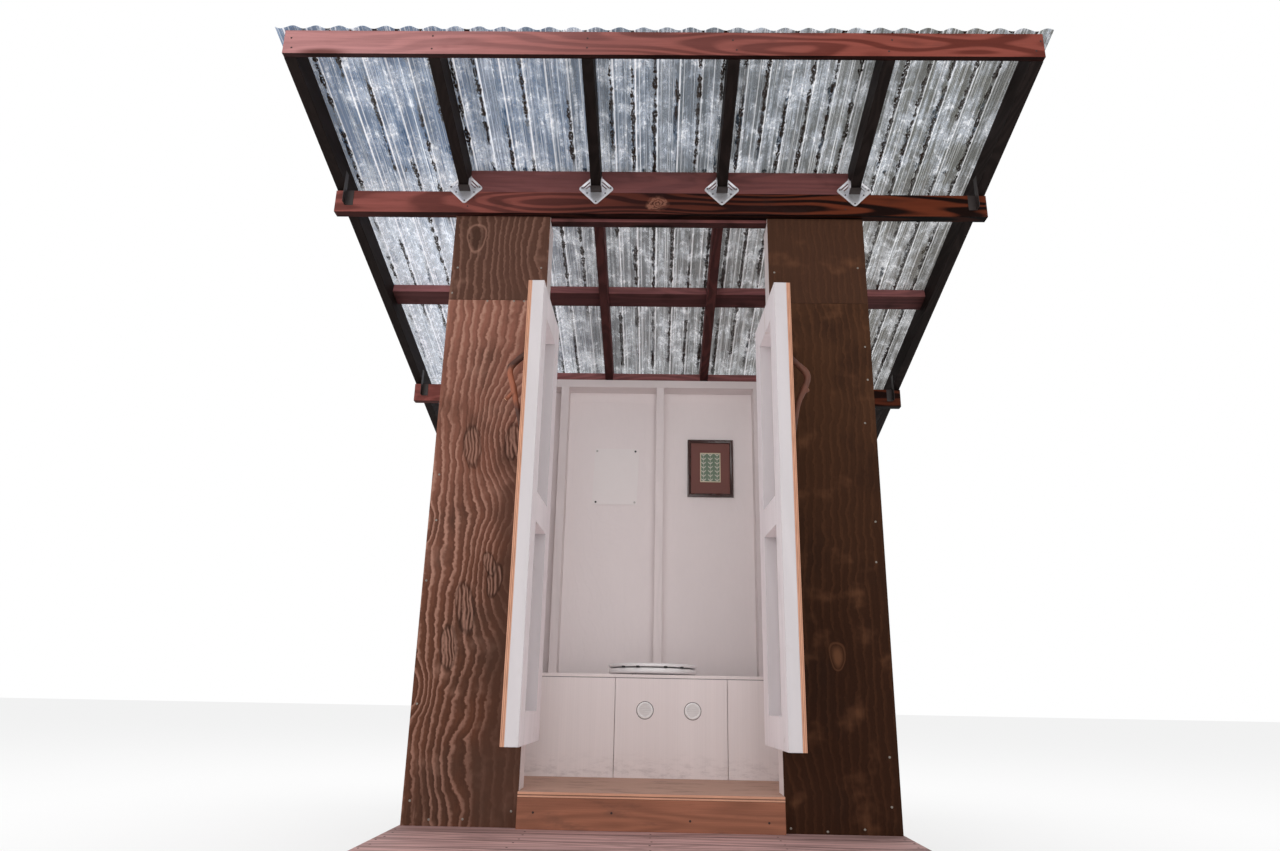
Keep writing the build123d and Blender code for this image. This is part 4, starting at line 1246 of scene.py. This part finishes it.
class OUTHOUSE_OT_screws(bpy.types.Operator):
    """Drive the screws of the roof, panels, fascia, beam, deck and toe board"""

    bl_idname = "outhouse.screws"
    bl_label = "Screws"

    def execute(self, context):
        zinc = plain_finish("screw_zinc", (0.24, 0.21, 0.18), 0.5, 5.0, 0.25, metallic=0.3)
        dark = plain_finish("screw_dark", (0.035, 0.022, 0.020), 0.6, 9.0, 0.4, specular=0.2)
        sizes = context.scene.outhouse_sizes
        drives = (
            ("roof_screws", self.roof, zinc), ("panel_screws", self.panels, zinc),
            ("timber_screws", self.timbers, dark), ("deck_screws", self.deck, dark),
        )
        for name, drive, material in drives:
            form = Form()
            drive(form, sizes)
            make(form, name, material)
        return {"FINISHED"}

    def roof(self, form, sizes):
        """Washered screws on every third crest, over the fascia, the beam and the purlin."""
        roof = Roof(sizes)
        purlin_low, purlin_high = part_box("roof_purlins")
        profile = [
            (0.0024, -0.018), (0.0024, 0.0004), (0.0085, 0.0004), (0.0090, 0.0012), (0.0075, 0.0020),
            (0.0042, 0.0022), (0.0042, 0.0050), (0.0034, 0.0056),
        ]
        for line in (
            roof.slope_place(fascia_low.y) + 0.034,
            roof.slope_place((beam_low.y + beam_high.y) / 2),
            roof.slope_place((purlin_low.y + purlin_high.y) / 2),
        ):
            for wave in range(0, roof.waves, 3):
                x = roof.left + (wave + 0.75) * roof.pitch
                form.lathe(profile, looking(roof.point(x, line, roof.wave(x) + roof.top), roof.up), steps=12)

    def panels(self, form, sizes):
        """Heads along the panels' edges, set a little unevenly by hand."""
        hand = random.Random(3)
        head = sizes.screw_head
        inset = timber / 2
        margin = 0.045
        # The side panels' tops slope down, so their rows end lower
        side_margin = 0.36
        for x, z in front_screws:
            screw(form, (x, panel_low.y, z), head)
        low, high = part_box("back_wall_panel")
        for x in spaced(low.x + inset, high.x - inset, stud_pitch):
            for z in spaced(low.z + margin, high.z - margin, sizes.screw_pitch):
                screw(form, (x + hand.uniform(-0.005, 0.005), high.y, z), head, (0, 1, 0))
        for name, way in (("left_wall_panel", -1), ("right_wall_panel", 1)):
            low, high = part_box(name)
            x = low.x if way < 0 else high.x
            for y in spaced(low.y + inset, high.y - inset, stud_pitch):
                for z in spaced(low.z + margin, high.z - side_margin, sizes.screw_pitch):
                    screw(form, (x, y + hand.uniform(-0.005, 0.005), z), head, (way, 0, 0))

    def timbers(self, form, sizes):
        """Pairs of sunk heads where the rafters and the corner studs are held."""
        hand = random.Random(8)
        head = sizes.screw_head * 0.85
        outer = fascia_high.x - timber / 2
        for x in (-outer, *rafter_places, outer):
            for z in (0.28, 0.72):
                height = fascia_low.z + (fascia_high.z - fascia_low.z) * z + hand.uniform(-0.006, 0.006)
                screw(form, (x + hand.uniform(-0.010, 0.010), fascia_low.y, height), head, proud=sunk)
        for x in (-0.70, 0.70):
            for z in (0.30, 0.70):
                spot = (x + hand.uniform(-0.02, 0.02), beam_low.y, beam_low.z + timber_wide * z)
                screw(form, spot, head, proud=sunk)

    def deck(self, form, sizes):
        """Two heads to each board at each joist, and a row along the toe board."""
        hand = random.Random(21)
        joist_pitch, toe_pitch, margin = 0.37, 0.24, 0.03
        places = spaced(deck_low.x + timber / 2, deck_high.x - timber / 2, joist_pitch)
        for board in range(int((deck_high.y - deck_low.y) / board_pitch) + 1):
            for inset in (margin, 0.107):
                y = deck_low.y + board * board_pitch + inset
                if y > panel_low.y - margin:
                    continue
                for x in places:
                    spot = (x + hand.uniform(-0.006, 0.006), y + hand.uniform(-0.005, 0.005), deck_high.z)
                    screw(form, spot, sizes.screw_head * 0.9, (0, 0, 1), sunk)
        low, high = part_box("toe_board")
        for x in spaced(low.x + 0.05, high.x - 0.05, toe_pitch):
            screw(form, (x, low.y, low.z + 0.045 + hand.uniform(-0.02, 0.02)), 0.007, proud=sunk)


class OUTHOUSE_OT_vents(bpy.types.Operator):
    """Make the two round louvred vents of the bench"""

    bl_idname = "outhouse.vents"
    bl_label = "Bench Vents"

    def execute(self, context):
        white = plain_finish("vent_plastic", context.scene.outhouse_paint.plastic, 0.35, 2.0)
        shadow = plain_finish("vent_shadow", (0.10, 0.080, 0.080), 0.8, 4.0)
        low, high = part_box("bench_vents")
        radius = (high.z - low.z) / 2
        inner = radius * 0.78
        steps = 40
        rim = [
            (inner, 0.0002), (radius - 0.0004, 0.0002), (radius - 0.0002, 0.0016), (radius - 0.0030, 0.0032),
            (inner + 0.0030, 0.0054), (inner, 0.0052), (inner, 0.0002),
        ]
        # Along and out from a slat's middle
        slat_outline = ((-0.0027, 0.0034), (0.0022, 0.0056), (0.0027, 0.0048), (-0.0020, 0.0022))
        rims, backs = Form(), Form()
        for x in (low.x + radius, high.x - radius):
            place = looking((x, high.y, low.z + radius))
            rims.lathe(rim, place, steps, capped=False)
            rims.lathe([(inner, 0.0002), (inner, 0.0014)], place, steps)
            # A dark disc behind each vent, which shows round its rim as a painted shadow ring
            backs.lathe([(radius + 0.0022, -0.0002), (radius + 0.0022, 0.0006)], place, steps)
            for slat in range(-3, 4):
                up = slat * inner * 0.27
                half = max(inner**2 - (abs(up) + 0.003) ** 2, 0.0) ** 0.5
                rims.bar([(up + along, out) for along, out in slat_outline], (-half, half), place)
        piece = make(rims, "vent_louvres", white)
        make(backs, "vent_backs", shadow)
        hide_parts("bench_vents")
        return {"FINISHED"}


class OUTHOUSE_OT_seat(bpy.types.Operator):
    """Make the toilet seat and its lid"""

    bl_idname = "outhouse.seat"
    bl_label = "Toilet Seat"

    def execute(self, context):
        self.white = plain_finish("seat_plastic", context.scene.outhouse_paint.plastic, 0.42, 6.0, 0.03)
        self.rubber = plain_finish("bumper_rubber", (0.035, 0.033, 0.034), 0.7, 8.0)
        seat_low, seat_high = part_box("toilet_seat")
        self.pin = Vector(frame_joint("toilet_lid_hinge")["pos_m"])
        self.hinge = 0.070
        self.wide = (seat_high.x - seat_low.x) / 2
        self.long = 0.220
        self.middle = seat_low.y + self.long
        self.ring()
        self.lid()
        return {"FINISHED"}

    def ring(self):
        """The ring, its two hinge posts with their pins, and its feet."""
        pin, form = self.pin, Form()
        bottom = bench_high.z + 0.006
        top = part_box("toilet_lid")[0].z - 0.0022
        wide = 0.075
        rows = []
        for turn in turns(72):
            row = []
            for a in turns(20):
                flat = abs(cos(a)) ** 0.55 * (1 if cos(a) >= 0 else -1)
                tall = abs(sin(a)) ** 0.75 * (1 if sin(a) >= 0 else -1)
                inward = wide / 2 - wide / 2 * flat
                hollow = 0.004 * inward / wide if tall > 0 else 0.0
                z = (bottom + top) / 2 + (top - bottom) / 2 * tall - hollow
                along = self.middle + (self.long - inward) * sin(turn)
                row.append(((self.wide - inward) * cos(turn), along, z))
            rows.append(row)
        form.rows([*rows, rows[0]], closed=True)
        post = [
            (pin.y - 0.050, bench_high.z), (pin.y + 0.007, bench_high.z), (pin.y + 0.007, pin.z),
            (pin.y, pin.z + 0.0068), (pin.y - 0.007, pin.z), (pin.y - 0.007, top - 0.002),
            (pin.y - 0.050, top - 0.006),
        ]
        for x in (-self.hinge, self.hinge):
            form.bar(post, (x - 0.0118, x + 0.0118))
            form.lathe([(0.0038, -0.0235), (0.0038, 0.0235)], looking((x, pin.y, pin.z), (1, 0, 0)), steps=16)
        piece = make(form, "seat_ring", self.white)
        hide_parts("toilet_seat")
        feet = Form()
        for sx in (-1, 1):
            for sy in (-1, 1):
                spot = Matrix.Translation((sx * 0.072, self.middle + sy * 0.158, bench_high.z))
                feet.lathe([(0.0090, 0.0), (0.0090, 0.0048), (0.0080, 0.0062)], spot, steps=16)
        make(feet, "seat_feet", self.rubber)

    def lid(self):
        """The lid, its hinge bars and its pads."""
        low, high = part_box("toilet_lid")
        pin, form = self.pin, Form()
        profile = [
            (0.05, 0.0030), (0.86, 0.0030), (0.90, 0.0004), (0.975, 0.0), (0.994, 0.0022), (1.0, 0.0060),
            (0.996, 0.0096), (0.975, 0.0122), (0.90, 0.0132), (0.60, 0.0138), (0.05, high.z - low.z),
        ]
        place = Matrix.Translation((0.0, self.middle, low.z))
        form.lathe(profile, place, steps=72, stretch=(self.wide, self.long))
        bar = [
            (pin.y - 0.075, low.z + 0.004), (pin.y, low.z + 0.0008), (pin.y + 0.0060, pin.z - 0.003),
            (pin.y + 0.0068, pin.z + 0.001), (pin.y + 0.002, pin.z + 0.0066), (pin.y - 0.075, high.z - 0.001),
        ]
        for x in (-self.hinge, self.hinge):
            for way in (-1, 1):
                form.bar(bar, sorted((x + way * 0.0127, x + way * 0.0238)))
        piece = make(form, "seat_lid", self.white, "toilet_lid")
        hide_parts("toilet_lid")
        pads = Form()
        for x in (-0.114, -0.057, 0.050, 0.114):
            y = self.middle - self.long * (1.0 - (x / self.wide) ** 2) ** 0.5 + 0.0055
            spot = looking((x, y, low.z), (0, 0, -1))
            pads.lathe([(0.0072, -0.0022), (0.0072, 0.0028), (0.0062, 0.0034)], spot, steps=16)
        make(pads, "lid_pads", self.rubber, "toilet_lid")


def frame_joint(name):
    """A joint of the frame."""
    for joint in frame["joints"]:
        if joint["name"] == name:
            return joint
    raise RuntimeError("the frame has no joint named " + name)


class OUTHOUSE_OT_handles(bpy.types.Operator):
    """Bend the two branch handles of the doors"""

    bl_idname = "outhouse.handles"
    bl_label = "Branch Handles"

    # Outward and height above the deck, in metres, of each branch from its upper end to its lower one
    branches = {
        "left": ((-0.004, 1.408), (0.026, 1.384), (0.050, 1.360), (0.051, 1.338), (0.038, 1.300),
                 (0.029, 1.258), (0.017, 1.215), (0.005, 1.170), (-0.005, 1.132)),
        "right": ((-0.004, 1.405), (0.028, 1.376), (0.052, 1.352), (0.055, 1.330), (0.044, 1.300),
                  (0.025, 1.262), (0.015, 1.220), (0.006, 1.165), (-0.005, 1.100)),
    }
    stubs = {"left": ((0.033, 1.278), (0.058, 1.252)), "right": ((0.036, 1.284), (0.055, 1.296))}
    # Lower and upper end of the peeled part, and how bare it is; on the left handle the dark bark above the
    # peeled part is partly painted shadow on the upper arm
    peeled = {"left": (1.235, 1.350, 1.0), "right": (1.200, 1.380, 0.22)}
    reach = 0.350
    ply_front = 0.006

    def execute(self, context):
        cut_wood = plain_finish("cut_wood", (0.62, 0.38, 0.22), 0.6, 4.0, 0.3)
        for door, side in (("left", 1), ("right", -1)):
            swing = frame_joint(door + "_door_swing")
            pin = Vector(swing["pos_m"])
            opened = -swing["range_deg"][0]
            turn = radians(-opened if side == 1 else 180.0 + opened)
            ahead = Vector((cos(turn), sin(turn), 0.0))
            inward = Vector((-sin(turn), cos(turn), 0.0)) * side
            start = Vector((pin.x, pin.y, deck_high.z)) + ahead * self.reach + inward * self.ply_front

            def placed(points):
                return [start - inward * out + Vector((0, 0, up)) for out, up in points]

            path = self.smooth(self.smooth(placed(self.branches[door])))
            radii = []
            for index in range(len(path)):
                t = index / (len(path) - 1)
                knuckles = 0.0020 * max(0.0, 1.0 - abs(t - 0.30) * 9.0)
                knuckles += 0.0016 * max(0.0, 1.0 - abs(t - 0.52) * 12.0)
                radii.append(0.0102 - 0.0028 * t + knuckles)
            form = Form()
            form.tube(path, radii, steps=14)
            root, tip = placed(self.stubs[door])
            form.tube([root, (root + tip) / 2, tip], [0.0070, 0.0062, 0.0058])
            low, high, share = self.peeled[door]
            bark = branch_wood(door + "_branch_wood", deck_high.z + low, deck_high.z + high, share)
            piece = make(form, door + "_branch_handle", bark, door + "_door")
            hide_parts(door + "_door_handle")
            ends = Form()
            face = [(0.0054, -0.001), (0.0050, 0.0006), (0.0004, 0.0008)]
            ends.lathe(face, looking(tip, tip - root), steps=14)
            make(ends, door + "_branch_cut", cut_wood, door + "_door")
        return {"FINISHED"}

    def smooth(self, path):
        """Cut the corners of a path once."""
        out = [path[0]]
        for a, b in zip(path, path[1:]):
            out += [a * 0.75 + b * 0.25, a * 0.25 + b * 0.75]
        return [*out, path[-1]]


class OUTHOUSE_OT_notice(bpy.types.Operator):
    """Pin the blank sheet of paper to the back wall"""

    bl_idname = "outhouse.notice"
    bl_label = "Blank Notice"

    def execute(self, context):
        sizes = context.scene.outhouse_sizes
        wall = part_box("back_wall_panel")[0].y
        paper = plain_finish("notice_paper", (0.93, 0.875, 0.865), 0.6, 2.0, 0.03)
        middle_x, middle_z = -0.192, 1.538
        half_wide = sizes.notice_width / 2
        half_tall = sizes.notice_height / 2
        ways = [step / 14 * 2 - 1 for step in range(15)]
        levels = []
        for level in (0.0, 0.0003):
            rows = []
            for v in ways:
                row = []
                for u in ways:
                    bulge = 0.0035 * (1 - u * u) * (0.6 + 0.4 * sin(3 * v))
                    curl = bulge + 0.004 * max(0.0, -v - 0.8) * u * u
                    x = middle_x + u * half_wide + 0.004 * v
                    row.append((x, wall - 0.0008 - curl - level, middle_z + v * half_tall))
                rows.append(row)
            levels.append(rows)
        form = Form()
        form.sheet(*levels)
        make(form, "notice_sheet", paper)
        profile = [(0.0050, -0.0006), (0.0052, 0.0010), (0.0040, 0.0026), (0.0004, 0.0032)]
        for name, tone, seed, corners in (
            ("pale", (0.55, 0.52, 0.50), 3.0, ((-1, 1), (1, -1))),
            ("black", (0.02, 0.02, 0.022), 5.0, ((1, 1), (-1, -1))),
        ):
            heads = Form()
            for sx, sy in corners:
                x = middle_x + sx * (half_wide - 0.014)
                spot = (x, wall - 0.0012, middle_z + sy * (half_tall - 0.012))
                heads.lathe(profile, looking(spot), steps=16)
            finish = plain_finish("tack_" + name, tone, 0.3, seed, 0.1)
            make(heads, "tacks_" + name, finish)
        return {"FINISHED"}


class OUTHOUSE_OT_picture(bpy.types.Operator):
    """Frame the small print on the back wall"""

    bl_idname = "outhouse.picture"
    bl_label = "Framed Print"

    def execute(self, context):
        wide = context.scene.outhouse_sizes.moulding
        low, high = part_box("picture_frame")
        wall = high.y
        deep = high.y - low.y
        brown = plain_finish("picture_moulding", (0.045, 0.018, 0.014), 0.28, 2.0, 0.3, coat_weight=0.3)
        mat = plain_finish("picture_mat", context.scene.outhouse_paint.mat, 0.75, 7.0, 0.10)
        # Inwards from the outer edge, and out from the wall
        profile = [
            (0.0, 0.0), (0.0, deep * 0.72), (0.0022, deep * 0.95), (0.0060, deep), (0.0095, deep * 0.86),
            (0.0130, deep * 0.80), (wide - 0.0012, deep * 0.62), (wide, deep * 0.50), (wide, 0.0),
        ]
        rows = []
        for x, z, sx, sz in (
            (low.x, low.z, 1, 1), (high.x, low.z, -1, 1), (high.x, high.z, -1, -1), (low.x, high.z, 1, -1),
        ):
            rows.append([(x + sx * inward, wall - proud, z + sz * inward) for inward, proud in profile])
        form = Form()
        form.rows([*rows, rows[0]], closed=True)
        piece = make(form, "picture_moulding", brown)
        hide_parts("picture_frame")
        inner = wide - 0.001
        board = Form()
        front, back = wall - 0.0070, wall - 0.0010
        board.block((low.x + inner, front, low.z + inner), (high.x - inner, back, high.z - inner))
        make(board, "picture_mat", mat)
        middle = (low + high) / 2
        half_wide, half_tall, lift = 0.0495, 0.0735, 0.004
        print_low = Vector((middle.x - half_wide, wall - 0.0082, middle.z - half_tall + lift))
        print_high = Vector((middle.x + half_wide, wall - 0.0068, middle.z + half_tall + lift))
        card = Form()
        card.block(print_low, print_high)
        leaves = printed_leaves("printed_leaves", print_low, print_high)
        make(card, "picture_print", leaves)
        return {"FINISHED"}


class OUTHOUSE_OT_stage(bpy.types.Operator):
    """Set the floor, background, lamps and camera"""

    bl_idname = "outhouse.stage"
    bl_label = "Stage"

    def execute(self, context):
        scene = context.scene
        scene.view_settings.view_transform = "Standard"
        self.background(scene)
        self.ground()
        # Place, what it shines at, size and power; the doorway's lamp stands for the daylight inside
        lamps = {
            "key_lamp": ((-4.4, -6.8, 3.2), (0.0, 0.0, 1.2), 3.5, 120.0),
            "side_lamp": ((4.4, -7.0, 2.8), (0.0, 0.0, 1.2), 3.5, 40.0),
            "fill_lamp": ((0.5, -8.9, 2.1), (0.0, 0.4, 1.1), 3.0, 100.0),
            "doorway_lamp": ((0.0, panel_high.y, 1.35), (0.0, 1.0, 1.30), 0.75, 1.7),
            "sky_lamp": ((0.0, 0.0, 6.6), (0.0, 0.2, 1.2), 4.0, 260.0),
        }
        for name, (place, target, size, power) in lamps.items():
            data = bpy.data.lights.new(name, "AREA")
            data.size = size
            data.energy = power
            lamp = bpy.data.objects.new(name, data)
            lamp.matrix_world = looking(place, Vector(place) - Vector(target))
            scene.collection.objects.link(lamp)
        self.camera(scene)
        return {"FINISHED"}

    def background(self, scene):
        """Even light from all round, and plain white where it is looked at or mirrored."""
        scene.world = bpy.data.worlds.new("pale_surroundings")
        sky = Nodes(scene.world)
        paths = sky.add("ShaderNodeLightPath", output="Is Camera Ray")
        seen = paths.larger(paths.output("Is Glossy Ray")).larger(paths.output("Is Transmission Ray"))
        white = {"Color": (1.0, 1.0, 1.0), "Strength": 0.72 + seen * 0.28}
        glow = sky.add("ShaderNodeBackground", sockets=white)
        sky.add("ShaderNodeOutputWorld", sockets={"Surface": glow})

    def ground(self):
        """A wide pale floor, which is lifted towards white where it is looked at."""
        f = Finish("pale_floor", (0.82, 0.82, 0.82))
        paths = f.add("ShaderNodeLightPath", output="Is Camera Ray")
        f.dim(0.99 + f.cloud((3.0, 3.0, 0)) * 0.02)
        matt = f.add("ShaderNodeBsdfDiffuse", sockets={"Color": f.tone})
        white = f.add("ShaderNodeEmission", sockets={"Strength": 1.0})
        mixed = f.add("ShaderNodeMixShader", sockets={0: paths * 0.72, 1: matt, 2: white})
        f.add("ShaderNodeOutputMaterial", sockets={"Surface": mixed})
        mesh = bpy.data.meshes.new("floor")
        reach = 40.0
        corners = [(-reach, -reach, 0.0), (reach, -reach, 0.0), (reach, reach, 0.0), (-reach, reach, 0.0)]
        mesh.from_pydata(corners, [], [(0, 1, 2, 3)])
        mesh.materials.append(f.material)
        floor = bpy.data.objects.new("floor", mesh)
        bpy.context.scene.collection.objects.link(floor)

    def camera(self, scene):
        """Stand where the photograph was taken from."""
        view = scene.outhouse_camera
        ahead = Vector((-sin(view.turn) * cos(view.rise), cos(view.turn) * cos(view.rise), sin(view.rise)))
        right = Vector((cos(view.turn), sin(view.turn), 0.0))
        up = right.cross(ahead)
        leaned_right = right * cos(view.roll) + up * sin(view.roll)
        leaned_up = up * cos(view.roll) - right * sin(view.roll)
        data = bpy.data.cameras.new("camera")
        data.sensor_fit = "HORIZONTAL"
        data.sensor_width = 36.0
        data.lens = view.focal
        camera = bpy.data.objects.new("camera", data)
        axes = Matrix((leaned_right, leaned_up, -ahead)).transposed().to_4x4()
        camera.matrix_world = Matrix.Translation(view.place) @ axes
        scene.collection.objects.link(camera)
        scene.camera = camera


class OUTHOUSE_PT_pieces(bpy.types.Panel):
    """Lists the outhouse's finishes and pieces"""

    bl_idname = "OUTHOUSE_PT_pieces"
    bl_label = "Outhouse"
    bl_space_type = "VIEW_3D"
    bl_region_type = "UI"
    bl_category = "Outhouse"

    def draw(self, context):
        for step in steps:
            self.layout.operator(step.bl_idname)


steps = (
    OUTHOUSE_OT_stage,
    OUTHOUSE_OT_timber,
    OUTHOUSE_OT_plywood,
    OUTHOUSE_OT_painted,
    OUTHOUSE_OT_platform,
    OUTHOUSE_OT_hangers,
    OUTHOUSE_OT_sheets,
    OUTHOUSE_OT_litter,
    OUTHOUSE_OT_screws,
    OUTHOUSE_OT_vents,
    OUTHOUSE_OT_seat,
    OUTHOUSE_OT_handles,
    OUTHOUSE_OT_notice,
    OUTHOUSE_OT_picture,
)
groups = {
    "outhouse_stain": StainSettings,
    "outhouse_paint": PaintSettings,
    "outhouse_sizes": SizeSettings,
    "outhouse_camera": CameraSettings,
}


def register():
    for name, group in groups.items():
        bpy.utils.register_class(group)
        setattr(bpy.types.Scene, name, bpy.props.PointerProperty(type=group))
    for step in steps:
        bpy.utils.register_class(step)
    bpy.utils.register_class(OUTHOUSE_PT_pieces)


def unregister():
    bpy.utils.unregister_class(OUTHOUSE_PT_pieces)
    for step in reversed(steps):
        bpy.utils.unregister_class(step)
    for name, group in groups.items():
        delattr(bpy.types.Scene, name)
        bpy.utils.unregister_class(group)


def main():
    """Make everything in order."""
    register()
    for step in steps:
        group, name = step.bl_idname.split(".")
        getattr(getattr(bpy.ops, group), name)()


if __name__ == "__main__":
    main()
